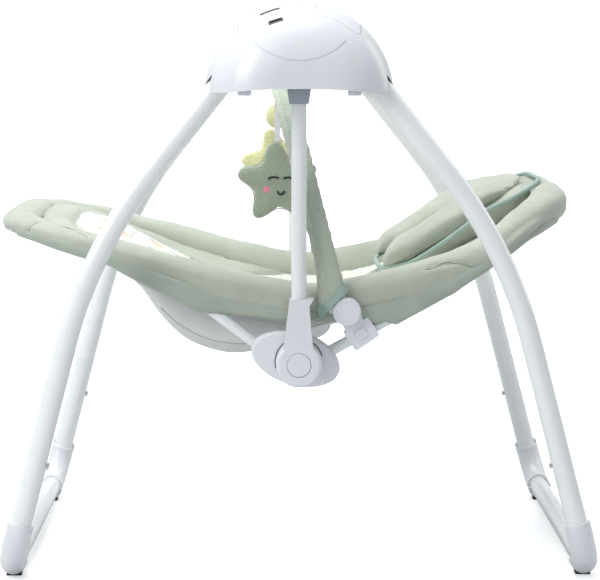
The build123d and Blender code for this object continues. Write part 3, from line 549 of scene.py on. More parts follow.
def puff(thing, voxel, cap, pressure, sewn=None, frames=20):
    """Swell a closed soft piece by cloth simulation, with no point moving further than the cap.

    sewn(point) says how firmly a point is held, from 0 to 1.
    """
    remesh(thing, voxel)
    before = coordinates(thing.data)
    cloth = thing.modifiers.new("cloth", "CLOTH")
    cloth.settings.quality = 5
    cloth.settings.mass = 0.15
    cloth.settings.tension_stiffness = 12
    cloth.settings.compression_stiffness = 12
    cloth.settings.bending_stiffness = 0.4
    cloth.settings.use_pressure = True
    cloth.settings.uniform_pressure_force = pressure
    cloth.settings.effector_weights.gravity = 0
    cloth.collision_settings.use_collision = False
    cloth.collision_settings.use_self_collision = False
    cloth.point_cache.frame_start = 1
    cloth.point_cache.frame_end = frames
    if sewn:
        group = thing.vertex_groups.new(name="sewn")
        for i, point in enumerate(before):
            hold = sewn(Vector(point))
            if hold > 0.01:
                group.add([i], min(1.0, hold), "REPLACE")
        cloth.settings.vertex_group_mass = "sewn"
    for step in range(1, frames + 1):
        scene.frame_set(step)
    swollen = evaluated_mesh(thing)
    moved = np.nan_to_num(coordinates(swollen) - before)
    length = np.linalg.norm(moved, axis=1, keepdims=True)
    moved *= np.minimum(1.0, cap / np.maximum(length, 1e-9))
    swollen.vertices.foreach_set("co", (before + moved).ravel())
    swollen.update()
    thing.vertex_groups.clear()
    replace_mesh(thing, swollen)
    scene.frame_set(1)
    finish_soft(thing)


def finish_soft(thing, levels=1):
    modifier = thing.modifiers.new("fine", "SUBSURF")
    modifier.levels = modifier.render_levels = levels
    replace_mesh(thing, evaluated_mesh(thing))
    smooth_faces(thing)


def crumple(thing, size, depth, stretch=(1, 1, 1), seed=0.0):
    """Push a soft surface in and out by a smooth noise, for the unevenness of a filled cover."""
    offset = Vector((seed, seed * 1.7, seed * 0.3))
    mesh = thing.data
    normals = [v.normal.copy() for v in mesh.vertices]
    for vertex, normal in zip(mesh.vertices, normals):
        at = Vector([c * k / size for c, k in zip(vertex.co, stretch)]) + offset
        vertex.co += normal * depth * noise.noise(at)
    mesh.update()


def press(thing, path, width, depth):
    """Press a groove into a soft surface along a path of points."""
    tree = tree_of(thing)
    points = rows_of([tree.find_nearest(Vector(p))[0] for p in path])
    mesh = thing.data
    co = coordinates(mesh)
    normals = rows_of([v.normal for v in mesh.vertices])
    low, high = points.min(0) - 3 * width, points.max(0) + 3 * width
    near = np.flatnonzero(((co > low) & (co < high)).all(1))
    batch = 4000
    for start in range(0, len(near), batch):
        chosen = near[start:start + batch]
        gap = np.linalg.norm(co[chosen, None, :] - points[None, :, :], axis=2).min(1)
        co[chosen] -= normals[chosen] * (depth * np.exp(-(gap / width) ** 2))[:, None]
    mesh.vertices.foreach_set("co", co.ravel())
    mesh.update()


def on_surface(thing, path, lift, closed):
    """A path moved onto a surface without jumping sideways, and lifted off it by a small distance."""
    tree = tree_of(thing)
    line = [Vector(p) for p in path]
    last = len(line) - 1
    for _ in range(3):
        line = [tree.find_nearest(p)[0] for p in line]
        for _ in range(5):
            before = list(line)
            for i, p in enumerate(before):
                if closed or 0 < i < last:
                    line[i] = (before[i - 1] + p * 2 + before[(i + 1) % len(before)]) / 4
    moved = []
    for p in line:
        place, normal, _, _ = tree.find_nearest(p)
        moved.append(p + normal * (max(0.0, (place - p).dot(normal)) + lift))
    return moved


def thread(name, thing, path, radius, material, body, slot, lift=0.0, closed=False):
    """A thin line of sewing or piping lying on a surface."""
    line = on_surface(thing, path, lift, closed)
    tube(name, line, superellipse(radius, radius, 2, 8), material, body, slot, closed)


def strip(name, centre, width, thickness, across, material, body, slot):
    """A flat band along a path: across gives the way its width runs."""
    path = [Vector(p) for p in centre]
    across = Vector(across).normalized()
    section = superellipse(width / 2, thickness / 2, 8, 20)
    rows = []
    for point, along in zip(path, directions(path, False)):
        upward = across.cross(along).normalized()
        if upward.z < 0:
            upward = -upward
        rows.append([point + across * a + upward * b for a, b in section])
    return netted(name, rows, material, body, slot, closed_columns=True, caps=True)


# ======== Camera, light and floor ========

camera = bpy.data.objects.new("camera", bpy.data.cameras.new("camera"))
scene.collection.objects.link(camera)
camera.location = (-0.0248, -2.66, 0.5616)
camera.rotation_euler = (radians(90 - 5.98), 0, radians(-0.61))
camera.data.lens = 140.4
camera.data.sensor_width = 36
scene.camera = camera


def area_light(name, place, aim, size, power):
    lamp = bpy.data.lights.new(name, "AREA")
    lamp.shape = "RECTANGLE"
    lamp.size, lamp.size_y = size
    lamp.energy = power
    made = bpy.data.objects.new(name, lamp)
    scene.collection.objects.link(made)
    made.location = place
    made.rotation_euler = (Vector(aim) - Vector(place)).to_track_quat("-Z", "Y").to_euler()
    return made


area_light("overhead", (-0.4, 0.0, 2.5), (0, 0, 0.3), (1.8, 1.6), 52)
area_light("front_left", (-2.0, -2.0, 1.7), (0, 0, 0.4), (1.0, 1.3), 30)
area_light("right_rim", (2.1, 0.9, 1.3), (0, 0, 0.35), (0.8, 1.4), 9)
area_light("backdrop_wash", (0, 1.6, 2.6), (0, 3.6, 0.8), (5.0, 1.0), 90)

world = bpy.data.worlds.new("studio")
scene.world = world
world.use_nodes = True
sky = world.node_tree.nodes["Background"]
sky.inputs["Color"].default_value = (0.93, 0.96, 1.0, 1)
sky.inputs["Strength"].default_value = 0.50
scene.view_settings.view_transform = "Standard"
scene.view_settings.exposure = 0.0


def studio_floor():
    """A pale floor that curves up into a backdrop behind the swing.

    The camera sees it nearly white. The light that it throws back is that of a greyer floor.
    """
    front, back, bend, top, side = -6.0, 3.2, 1.2, 6.0, 9.0
    below = 0.0002
    profile = [(front, 0.0), (back, 0.0)]
    for angle in np.linspace(0, pi / 2, 13)[1:]:
        profile.append((back + bend * sin(angle), bend - bend * cos(angle)))
    profile.append((back + bend, top))
    rows = [[(x, y, z - below) for y, z in profile] for x in (-side, side)]
    points, faces = net(rows)
    shader = Shader("studio_white", 0.9, Emission_Color=(1, 1, 1, 1))
    seen = shader.node("ShaderNodeLightPath").outputs["Is Camera Ray"]
    shader.color(shader.mix(seen, (0.62, 0.63, 0.64), shader.vary((0.93, 0.935, 0.94), 0.8, 0.004)))
    shader.tree.links.new(shader.math("MULTIPLY", seen, 0.42), shader.principled.inputs["Emission Strength"])
    made = piece("studio_floor", points, faces, shader.material)
    return made


studio_floor()


# ======== Seat: padded rail ========

bumper_low, bumper_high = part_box("seat_bumper")
bumper_tree = tree_of(frame["nodes"]["seat_bumper"])
pad_tree = tree_of(frame["nodes"]["seat_pad"])
sling_tree = tree_of(frame["nodes"]["seat_sling"])
foot_x = bumper_low.x
head_x = bumper_high.x
rail_y = bumper_high.y - rail_width / 2


def rail_point(share):
    """The rail's centre line seen from above, and its outward direction, at a share of its length."""
    corner = rail_corner - rail_width / 2
    x0, x1 = foot_x + rail_width / 2, head_x - rail_width / 2
    long_side, short_side = (x1 - x0) - 2 * corner, 2 * rail_y - 2 * corner
    bend = corner * pi / 2
    at = (share % 1.0) * (2 * long_side + 2 * short_side + 4 * bend)
    sides = (
        ((x0 + corner, -rail_y), (1, 0), long_side),
        ((x1, -rail_y + corner), (0, 1), short_side),
        ((x1 - corner, rail_y), (-1, 0), long_side),
        ((x0, rail_y - corner), (0, -1), short_side),
    )
    for (x, y), (dx, dy), length in sides:
        outward = Vector((dy, -dx, 0))
        if at <= length:
            return Vector((x + dx * at, y + dy * at, 0)), outward
        at -= length
        if at <= bend:
            turn = at / corner
            centre = Vector((x + dx * length - outward.x * corner, y + dy * length - outward.y * corner, 0))
            turned = outward * cos(turn) + Vector((dx, dy, 0)) * sin(turn)
            return centre + turned * corner, turned
        at -= bend
    return rail_point(0.0)


def rail_heights(x, y):
    return height(bumper_tree, x, y), height(bumper_tree, x, y, from_above=False)


def rail_surface(share, angle):
    """A point on the padded rail: angle 0 is its outer side, a quarter turn its top."""
    centre, outward = rail_point(share)
    top, bottom = rail_heights(centre.x, centre.y)
    a, b = cos(angle), sin(angle)
    power = 2 / 2.7 if b > 0 else 2 / 4.5
    out = (rail_width / 2 + (tube_cover if a > 0 else 0)) * bent(a, power)
    up = (top - bottom) / 2 * bent(b, power)
    return centre + outward * out + Vector((0, 0, (top + bottom) / 2 + up))


lower_seam_angle, inner_seam_angle = -0.95, pi + 0.75
cover_joins = {
    "foot": [(-0.288, 0.172, 0.364), (-0.272, 0.166, 0.376), (-0.248, 0.176, 0.376), (-0.222, 0.200, 0.364)],
    "head": [(0.134, 0.212, 0.333), (0.150, 0.212, 0.335), (0.168, 0.212, 0.334), (0.190, 0.212, 0.324)],
}
seat_tubes = [tree_of(frame["nodes"][name]) for name in ("front_seat_tube", "rear_seat_tube")]
rail_samples = [rail_point(i / 400) for i in range(400)]
rail_plan = rows_of([centre for centre, _ in rail_samples])[:, :2]


def wrap_tubes(thing, cover):
    """Move the outer side of the cloth out over the seat tubes, so that it covers them."""
    beyond = 0.03
    for vertex in thing.data.vertices:
        gaps = np.hypot(rail_plan[:, 0] - vertex.co.x, rail_plan[:, 1] - vertex.co.y)
        centre, outward = rail_samples[int(gaps.argmin())]
        if (vertex.co - centre).dot(outward) < rail_width / 4:
            continue
        for tree in seat_tubes:
            place = tree.ray_cast(vertex.co + outward * beyond, -outward, beyond + cover)[0]
            if place is not None:
                vertex.co += outward * max(0.0, cover - (vertex.co - place).dot(outward))
    thing.data.update()


def padded_rail():
    around, girth = 300, 28
    rows = [[rail_surface(i / around, 2 * pi * j / girth) for j in range(girth)] for i in range(around)]
    made = netted("padded_rail", rows, sage_plush, "seat", "sage_fabric",
                  closed_rows=True, closed_columns=True)
    lower_seam = [rail_surface(i / 400, lower_seam_angle) for i in range(400)]
    puff(made, 0.0052, 0.0042, 3.0, held_near(lower_seam, sewn_width))
    crumple(made, 0.05, 0.0022, seed=3.1)
    crumple(made, 0.014, 0.0007, seed=8.4)
    wrap_tubes(made, rail_over_tube)
    for name, angle in (("rail_lower_seam", lower_seam_angle), ("rail_inner_seam", inner_seam_angle)):
        line = [rail_surface(i / 399, angle) for i in range(399)]
        press(made, line, 0.0028, 0.0022)
        thread(name, made, line, 0.0007, seam_thread, "seat", "sage_fabric", closed=True)
    for side_name, side in SIDES:
        for place, knots in cover_joins.items():
            line = spline([(x, side * y, z) for x, y, z in knots], 40)
            press(made, line, 0.0026, 0.0018)
            thread(f"{side_name}_{place}_join", made, line, 0.0006, seam_thread, "seat", "sage_fabric")
    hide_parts("seat_bumper")


padded_rail()


def plan_half_width(x, x0, x1, half_width, corner):
    """Half the width at x of a rounded rectangle seen from above."""
    inset = min(x - x0, x1 - x)
    if inset <= 0:
        return half_width - corner
    if inset >= corner:
        return half_width
    return half_width - corner + sqrt(corner ** 2 - (corner - inset) ** 2)


inner_corner = rail_corner - rail_width
inner_x0, inner_x1 = foot_x + rail_width, head_x - rail_width
inner_y = bumper_high.y - rail_width

# ---- Skirt of the cover, which wraps the seat tube below the rail ----
flap_edge = [(-0.212, 0.3370), (-0.185, 0.3200), (-0.165, 0.3090), (-0.146, 0.3000), (-0.131, 0.2920),
             (-0.112, 0.2815), (-0.100, 0.2785), (-0.082, 0.2780), (-0.049, 0.2750), (-0.020, 0.2705),
             (0.030, 0.2690), (0.066, 0.2730), (0.078, 0.2660), (0.087, 0.2685), (0.112, 0.2805),
             (0.138, 0.2945), (0.164, 0.3090), (0.183, 0.3190), (0.212, 0.3370)]
front_tube = [(-0.300, 0.3625), (-0.146, 0.3145)]
rear_tube = [(0.092, 0.2618), (0.165, 0.3020), (0.272, 0.3820)]


def skirt_low(x, bottom):
    """How low the skirt reaches: under the seat tube, or to its own cut edge where the tube has left it."""
    under, blend_length = 0.0015, 0.012
    low = bottom - under
    if flap_edge[0][0] < x < flap_edge[-1][0]:
        low = min(low, sum(linear(flap_edge, x + shift) for shift in (-0.004, 0, 0.004)) / 3)
    for line in (front_tube, rear_tube):
        if line[0][0] - 0.03 < x < line[-1][0] + 0.03:
            inside = unit(min(x - line[0][0], line[-1][0] - x) / blend_length)
            low += (min(low, linear(line, x) - rail_over_tube) - low) * inside
    return low


def cover_skirt():
    """The cover's lower edge: down from inside the rail, and turned in under the tube."""
    steps = 420
    start = 0.010
    rows = []
    for i in range(steps):
        centre, outward = rail_point(i / steps)
        bottom = rail_heights(centre.x, centre.y)[1]
        low = skirt_low(centre.x, bottom)
        reach = rail_width / 2 + (skirt_proud if skirt_span[0] < centre.x < skirt_span[1] else -skirt_tuck)
        row = []
        for k in range(7):
            z = bottom + start + (low + skirt_turn - bottom - start) * k / 6
            row.append(centre + outward * (reach + 0.0010 * sin(pi * k / 6)) + Vector((0, 0, z)))
        for k in range(1, 9):
            turn = k / 8 * pi / 2
            z = low + skirt_turn * (1 - sin(turn))
            row.append(centre + outward * (reach - skirt_hem * (1 - cos(turn))) + Vector((0, 0, z)))
        rows.append(row)
    # The skirt takes the darker sage: painted shade, as it faces down under the rail.
    made = netted("cover_skirt", rows, shade_darkened_sage, "seat", "sage_fabric", closed_rows=True)
    crumple(made, 0.035, 0.0012, seed=5.5)
    wrap_tubes(made, skirt_over_tube)
    thicken(made, flap_thickness)


cover_skirt()


# ======== Seat: liner, sling ========


def inside_pad(x):
    return min(max(x, inner_x0 + 0.004), inner_x1 - 0.004)


def pad_height(x):
    return height(pad_tree, inside_pad(x), 0.0)


def rails_beside(x):
    """The rail's top and bottom beside the pad, following the pad where the rail bends away."""
    clear = min(max(x, rail_straight[0]), rail_straight[1])
    return [z + pad_height(x) - pad_height(clear) for z in rail_heights(clear, -rail_y)]


def liner_height(x, t):
    """The liner's top: the pad's own height in the middle, climbing the rail's inner side at the edges."""
    middle = pad_height(x)
    top, bottom = rails_beside(x)
    border = (bottom + middle) / 2 if middle > bottom else bottom + 0.004
    climb = max(0.0, (abs(t) - 0.80) / 0.20)
    foot = unit((-0.225 - x) / 0.045)
    edge = bottom + (0.62 + 0.30 * foot) * (top - bottom)
    rise = middle + (border - middle) * min(1.0, abs(t) / 0.85) ** 3 + max(0.0, edge - border) * climb ** 2
    return rise + 0.004 * foot * foot


print_centre_x = (print_foot_x + print_head_x) / 2


def liner_zone(x, y):
    """Distance inside the printed middle's outline: positive inside."""
    dx = abs(x - print_centre_x) - ((print_head_x - print_foot_x) / 2 - print_corner)
    wide = print_side + 0.018 * unit((x + 0.070) / 0.060)
    dy = abs(y) - (wide - print_corner)
    return print_corner - hypot(max(dx, 0), max(dy, 0)) - min(max(dx, dy), 0)


def channel_lines():
    """The liner's sewn channels: cross seams in the bucket, and the outline of its printed middle."""
    lines = []
    for x in (-0.185, -0.118, -0.062, 0.006, 0.072):
        lines.append([(x, y, liner_height(x, y / inner_y)) for y in np.linspace(-0.14, 0.14, 60)])
    outline = []
    for i in range(240):
        angle = 2 * pi * i / 240
        x, y = print_centre_x, 0.0
        reach = 0.0
        while liner_zone(x, y) > 0:
            reach += 0.001
            x, y = print_centre_x + cos(angle) * reach, sin(angle) * reach
        outline.append((x, y, liner_height(x, min(1.0, abs(y) / inner_y))))
    return lines, outline


def seat_liner():
    """The padded insert: sage at its edges, cream in the middle, printed towards the foot end."""
    top, bottom = [], []
    x0, x1 = inner_x0 - liner_overlap, inner_x1 + liner_overlap
    for x in np.linspace(x0, x1, 110):
        half = plan_half_width(x, x0, x1, inner_y + liner_overlap, inner_corner + liner_overlap)
        row = [Vector((x, half * t, liner_height(x, t) - liner_swell)) for t in ACROSS]
        top.append(row)
        bottom.append([p - Vector((0, 0, liner_thickness - liner_swell)) for p in row])
    made = shell("seat_liner", top, bottom, sage_plush, "seat", "cream_fabric")
    lines, outline = channel_lines()
    marks = [p for line in (*lines, outline) for p in line]
    puff(made, 0.0055, 0.0065, 3.5, held_near(marks, sewn_width, (0, 1)))
    crumple(made, 0.045, 0.0018, seed=1.3)
    crumple(made, 0.013, 0.0006, seed=6.2)
    for number, line in enumerate(lines):
        press(made, line, 0.0026, 0.0020)
        thread(f"liner_channel_{number + 1}", made, line, 0.0006, cream_thread, "seat", "cream_fabric")
    press(made, outline, 0.0028, 0.0024)
    thread("liner_outline_seam", made, outline, 0.0006, shade_darkened_sage, "seat", "cream_fabric",
           lift=0.0002, closed=True)
    made.data.materials.append(cream_cloth)
    made.data.materials.append(cream_print)
    for face in made.data.polygons:
        x, y, _ = face.center
        inside = liner_zone(x, y) > 0
        face.material_index = (2 if x < -0.09 else 1) if inside else 0
    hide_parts("seat_pad")
    return tree_of(made)


liner_tree = seat_liner()


def hanging_sling():
    """The thin sling under the seat: one sheet, hung from rail to rail."""
    x0, x1 = inner_x0 + 0.001, inner_x1 - 0.001
    rows = []
    for x in np.linspace(x0, x1, 110):
        half = plan_half_width(x, x0, x1, sling_half_width, inner_corner - 0.001)
        low = height(sling_tree, min(max(x, x0 + 0.004), x1 - 0.004), 0.0, from_above=False)
        low -= 0.005 * max(0.0, 1 - ((x + 0.06) / 0.10) ** 2)
        rim = max(low, rails_beside(x)[1]) + 0.006
        row = []
        for turn in np.linspace(0, pi, 56):
            y = -half * bent(cos(turn), 2 / sling_power)
            row.append((x, y, rim - (rim - low) * abs(sin(turn)) ** (2 / sling_power)))
        rows.append(row)
    made = netted("hanging_sling", rows, sling_cloth, "seat", "grey_fabric")
    crumple(made, 0.06, 0.0030, (1, 1, 0.35), seed=2.2)
    crumple(made, 0.02, 0.0010, (1, 1, 0.4), seed=9.7)
    thicken(made, sling_thickness)
    smooth_faces(made)
    for side_name, side in SIDES:
        hem = []
        for x in np.linspace(-0.150, 0.060, 60):
            hem.append((x, side * sling_half_width, height(sling_tree, x, 0.0, from_above=False) + 0.006))
        thread(f"{side_name}_sling_hem", made, hem, 0.0006, cream_thread, "seat", "grey_fabric", lift=0.0003)
    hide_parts("seat_sling")


hanging_sling()


# ======== Head pillow ========

pillow_edge = [(0.084, 0.313), (0.121, 0.323), (0.139, 0.334), (0.168, 0.354), (0.206, 0.383),
               (0.231, 0.394), (0.268, 0.413)]
pillow_crown = [(0.092, 0.030), (0.120, 0.031), (0.155, 0.031), (0.198, 0.026), (0.232, 0.014),
                (0.262, 0.005)]


def edge_height(x):
    return linear(pillow_edge, x)


def pillow_base():
    """The pillow's back: a cushion resting on the liner, its middle panel showing between the wings."""
    x0, x1 = pillow_x
    top, bottom = [], []
    for share in np.linspace(0, 1, 60):
        x = x0 + (x1 - x0) * share
        half = plan_half_width(x, x0, x1, pillow_half_width, pillow_corner)
        edge = edge_height(x)
        rest = liner_height(min(max(x, 0.10), 0.25), 0.3) - 0.001
        upper, lower = [], []
        for t in ACROSS:
            deep = min(edge - 0.004, rest + (edge - 0.006 - rest) * abs(t) ** 8)
            upper.append(Vector((x, half * t, edge)))
            lower.append(Vector((x - 0.006 * (2 * share - 1), half * 0.90 * t, deep)))
        top.append(upper)
        bottom.append(lower)
    made = shell("pillow_back", top, bottom, sage_plush, "seat", "sage_fabric")
    puff(made, 0.0048, 0.004, 3.0)
    crumple(made, 0.03, 0.0012, seed=4.4)
    made.data.materials.append(cream_cloth)
    for face in made.data.polygons:
        x, y, _ = face.center
        if face.normal.z > 0.2 and abs(y) < panel_half_width and x < panel_end_x:
            face.material_index = 1
    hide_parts("head_pillow")


def pillow_wings():
    """The horseshoe roll round the head, open towards the seat."""
    tip, bend = pillow_roll_x
    path = [Vector((x, -pillow_roll_y, 0)) for x in np.linspace(tip, bend, 14)]
    for turn in np.linspace(-pi / 2, pi / 2, 25)[1:]:
        path.append(Vector((bend + pillow_roll_end * cos(turn), pillow_roll_y * sin(turn), 0)))
    path += [Vector((x, pillow_roll_y, 0)) for x in np.linspace(bend, tip, 14)][1:]
    path = evenly(path, 90)
    rows = []
    for i, (point, along) in enumerate(zip(path, directions(path, False))):
        outward = Vector((along.y, -along.x, 0)).normalized()
        share = i / (len(path) - 1)
        end = min(share, 1 - share) / 0.075
        size = sqrt(max(0.03, 1 - max(0.0, 1 - end) ** 2.4))
        rise = linear(pillow_crown, point.x + outward.x * 0.02)
        row = []
        for a, b in superellipse(pillow_roll_half * size, 0.5, 2.3, 26):
            at = point + outward * a
            row.append(Vector((at.x, at.y, edge_height(at.x) + rise * size * (b + 0.5))))
        rows.append(row)
    made = netted("pillow_wings", rows, sage_plush, "seat", "sage_fabric", closed_columns=True, caps=True)
    puff(made, 0.0042, 0.0045, 3.5)
    crumple(made, 0.03, 0.0024, seed=7.7)
    crumple(made, 0.012, 0.0007, seed=2.9)


def pillow_piping():
    """The teal cord sewn round the pillow's edge."""
    x0, x1 = pillow_x[0] - 0.001, pillow_x[1] + 0.002
    count, radius = 200, 0.0026
    loop = []
    for a, y in superellipse((x1 - x0) / 2, pillow_half_width + 0.001, 2 / 0.55, count):
        x = (x0 + x1) / 2 + a
        loop.append(Vector((x, y, edge_height(x))))
    path = evenly(loop + loop[:1], count + 1)[:-1]
    section = superellipse(radius, radius, 2, 10)
    tube("pillow_piping", path, section, teal_tape, "seat", "sage_fabric", closed=True)


pillow_base()
pillow_wings()
pillow_piping()


# ======== Harness ========

buckle_low, buckle_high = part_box("harness_buckle")


def strap(name, start, end):
    """A webbing strap lying on the liner, with two rows of stitches."""
    start, end = Vector((*start, 0)), Vector((*end, 0))
    count = 40
    clear = strap_thickness / 2 + 0.0008
    centre = []
    for i in range(count):
        p = start.lerp(end, i / (count - 1))
        centre.append(Vector((p.x, p.y, height(liner_tree, p.x, p.y) + clear)))
    middle = [(a + b + c) / 3 for a, b, c in zip(centre, centre[1:], centre[2:])]
    smooth = [centre[0], *middle, centre[-1]]
    along = (end - start).normalized()
    across = Vector((-along.y, along.x, 0))
    made = strip(name, smooth, strap_width, strap_thickness, across, strap_web, "seat", "strap_fabric")
    stitch = superellipse(0.0005, 0.0004, 2, 6)
    for edge, shift in (("a", -0.38), ("b", 0.38)):
        line = [p + across * strap_width * shift + Vector((0, 0, strap_thickness / 2)) for p in smooth]
        tube(f"{name}_stitch_{edge}", line, stitch, cream_thread, "seat", "strap_fabric")
    return made


strap_lines = {
    "near_shoulder_strap": ((buckle_high.x + 0.001, -0.017), (0.105, -0.046)),
    "far_shoulder_strap": ((buckle_high.x + 0.001, 0.017), (0.105, 0.046)),
    "near_lap_strap": ((-0.012, buckle_low.y - 0.001), (-0.012, -0.145)),
    "far_lap_strap": ((-0.012, buckle_high.y + 0.001), (-0.012, 0.145)),
    "crotch_strap": ((buckle_low.x - 0.001, 0.0), (-0.078, 0.0)),
}
straps = [strap(strap_name, start, end) for strap_name, (start, end) in strap_lines.items()]
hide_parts("harness_straps")


# ======== Toy bar ========

joint_places = {joint["name"]: joint.get("pos_m") for joint in frame["joints"]}
bar_pivot = Vector(joint_places["toy_bar_tilt"])
bar_up = Vector((-sin(bar_lean), 0, cos(bar_lean)))
bar_front = Vector((cos(bar_lean), 0, sin(bar_lean)))
bar_origin = bar_pivot - Vector((bar_offset, 0, 0))


def bar_path(foot, count):
    """The arch's centre line, from this far above its pivot on both sides."""
    flat = [(-bar_y, foot), (-bar_y, bar_height - bar_corner)]  # across and up, in the arch's own plane
    inner = bar_y - bar_corner
    for turn in np.linspace(pi, pi / 2, 21)[1:]:
        flat.append((-inner + bar_corner * cos(turn), bar_height - bar_corner + bar_corner * sin(turn)))
    flat += [(-y, h) for y, h in reversed(flat)]
    return evenly([bar_origin + Vector((0, y, 0)) + bar_up * h for y, h in flat], count)


def bar_rows(path, grow, count):
    """Sections of the sleeve, which opens wide and slantwise towards the clips at its two feet."""
    half = bar_width / 2 - 0.001 + grow
    thick = bar_thickness / 2 - 0.0015 + grow
    section_power = 3.0
    rows = []
    travelled = 0.0
    whole = sum((b - a).length for a, b in zip(path, path[1:]))
    for i, (point, along) in enumerate(zip(path, directions(path, False))):
        travelled += (point - path[i - 1]).length if i else 0.0
        near_end = max(0.0, 1 - min(travelled, whole - travelled) / bar_flare_length)
        ease = near_end * near_end * (3 - 2 * near_end)
        thick_way = along.cross(bar_front).normalized()
        row = []
        for a, b in superellipse(half, thick + bar_foot_swell * ease, section_power, count):
            share = ease * (0.5 - a / (2 * half))
            at = point + bar_front * a + thick_way * b
            row.append(at - bar_up * bar_foot_drop * share - bar_front * bar_foot_flare * share)
        rows.append(row)
    return rows


def bar_sleeve():
    path = bar_path(bar_foot - bar_foot_reach, 240)
    rows = bar_rows(path, 0.0, 24)
    made = netted("bar_sleeve", rows, sage_bar, "toy_bar", "sage_fabric", closed_columns=True, caps=True)

    def sewn(point):
        return exp(-((abs((point - bar_origin).dot(bar_front)) - bar_width / 2) / 0.002) ** 2)

    puff(made, 0.0028, 0.0022, 3.0, sewn)
    crumple(made, 0.016, 0.0006, (1, 1, 2.2), seed=5.0)
    seam = bar_width * 0.20  # how far behind the middle the groove runs, and where the painted lighter strip starts
    groove = []
    for point, along in zip(path, directions(path, False)):
        inward = along.cross(bar_front).normalized()
        groove.append(point - bar_front * seam - inward * bar_thickness)
    press(made, groove, 0.0016, 0.0012)
    # Behind the groove the sleeve takes the lighter copy of its own fabric: painted light on the side that faces
    # the front-left lamp.
    made.data.materials.append(sage_bar_painted_light)
    for face in made.data.polygons:
        if (face.center - bar_origin).dot(bar_front) < -seam:
            face.material_index = 1
    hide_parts("toy_bar_sleeve")


bar_sleeve()


# The teal binding round the sleeve's two open feet.
cuff_rows = bar_rows(bar_path(bar_foot - bar_foot_reach - 0.001, 420), 0.0018, 32)
for cuff_name, rows in (("near_bar_cuff", cuff_rows[:6]), ("far_bar_cuff", cuff_rows[-6:])):
    netted(cuff_name, rows, teal_tape, "toy_bar", "sage_fabric", closed_columns=True, caps=True)


# ======== Toys ========


def star_outline(tip, tilt):
    """A rounded five-pointed star, as (along, up) points round its centre."""
    count, waist = 120, 0.60
    outline = []
    for i in range(count):
        angle = 2 * pi * i / count
        wave = 0.5 + 0.5 * cos(5 * angle)
        radius = tip * (waist + (1 - waist) * wave ** 1.15)
        outline.append((radius * cos(angle + tilt), radius * sin(angle + tilt)))
    return outline


def plush_star(name, node, tip, tilt, material, slot, body, face_side):
    """A stuffed star with a sewn edge and a plain smiling face of simple arcs."""
    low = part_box(node)[0]
    joint = Vector(joint_places[f"{body}_swing"])
    centre = Vector((joint.x, joint.y, low.z + tip * 0.80))
    outline = star_outline(tip - 0.002, tilt)
    rings = 9
    rows = []
    for side, order in ((-1, range(rings + 1)), (1, range(rings, -1, -1))):
        for k in order:
            share = k / rings
            half = 0.0045 + 0.0035 * sqrt(1 - share ** 2)
            rows.append([centre + Vector((a * share, side * half, b * share)) for a, b in outline])
    points, faces = net(rows, closed_columns=True)
    made = piece(name, points, faces, material, body, slot)
    work = bmesh.new()
    work.from_mesh(made.data)
    bmesh.ops.remove_doubles(work, verts=work.verts, dist=1e-5)
    bmesh.ops.recalc_face_normals(work, faces=work.faces)
    work.to_mesh(made.data)
    work.free()
    edge = [centre + Vector((a, 0, b)) for a, b in outline]
    puff(made, 0.0022, 0.0085, 9.0, held_near(edge, 0.0025, (0, 2), most=0.9))
    crumple(made, 0.014, 0.0012, seed=tip * 100)
    seam = [centre + Vector((a, 0, b)) for a, b in star_outline(tip + 0.01, tilt)]
    press(made, seam, 0.002, 0.0008)
    thread(f"{name}_seam", made, seam, 0.0006, material, body, slot, closed=True)
    star_face(name, made, centre, tip, body, slot, face_side)
    return made


def star_face(name, made, centre, tip, body, slot, face_side):
    """Two closed eyes, a smile and two cheeks, embroidered on one side."""
    middle = centre + Vector((-0.004 * face_side, 0.03 * face_side, 0))
    stitches = {  # each arc's middle across and up, half its width, its rise, and where it starts
        "eye_1": (-0.0088, 0.0035, 0.0062, 0.0036, 0),
        "eye_2": (0.0088, 0.0035, 0.0062, 0.0036, 0),
        "smile": (0.0, -0.0085, 0.0056, 0.0050, pi),
    }
    for part, (x, z, half, rise, start) in stitches.items():
        line = []
        for turn in np.linspace(start, start + pi, 15):
            line.append(middle + Vector((x + half * cos(turn), 0, z + rise * sin(turn))))
        thread(f"{name}_{part}", made, line, 0.0011, black_thread, body, slot, lift=0.0004)
    tree = tree_of(made)
    cheek_x, cheek_z, cheek_radius = 0.0160, -0.0078, 0.0036
    for number, x in enumerate((-cheek_x, cheek_x)):
        rows = []
        for k in range(5):
            loop = []
            for i in range(20):
                angle = 2 * pi * i / 20
                reach = cheek_radius * k / 4
                at = middle + Vector((x + reach * cos(angle), 0, cheek_z + reach * sin(angle)))
                place = tree.ray_cast(at, Vector((0, -face_side, 0)))[0] or at
                loop.append(place + Vector((0, face_side * (0.0007 - 0.0006 * (k / 4) ** 3), 0)))
            rows.append(loop)
        points, faces = net(rows, closed_columns=True)
        piece(f"{name}_cheek_{number + 1}", points, faces, pink_felt, body, slot)


def hanging_ribbon(name, body, x, y, top, bottom, slot):
    """A doubled ribbon loop from a toy up to the arch."""
    middle = (top + bottom) / 2
    for number, bow in enumerate((-1, 1)):
        path = [(x, y + bow * 0.0006, bottom), (x, y + bow * 0.0022, middle), (x, y + bow * 0.0008, top)]
        strip(f"{name}_{number + 1}", spline(path, 24), ribbon_width, ribbon_thickness, (1, 0, 0),
              white_ribbon, body, slot)


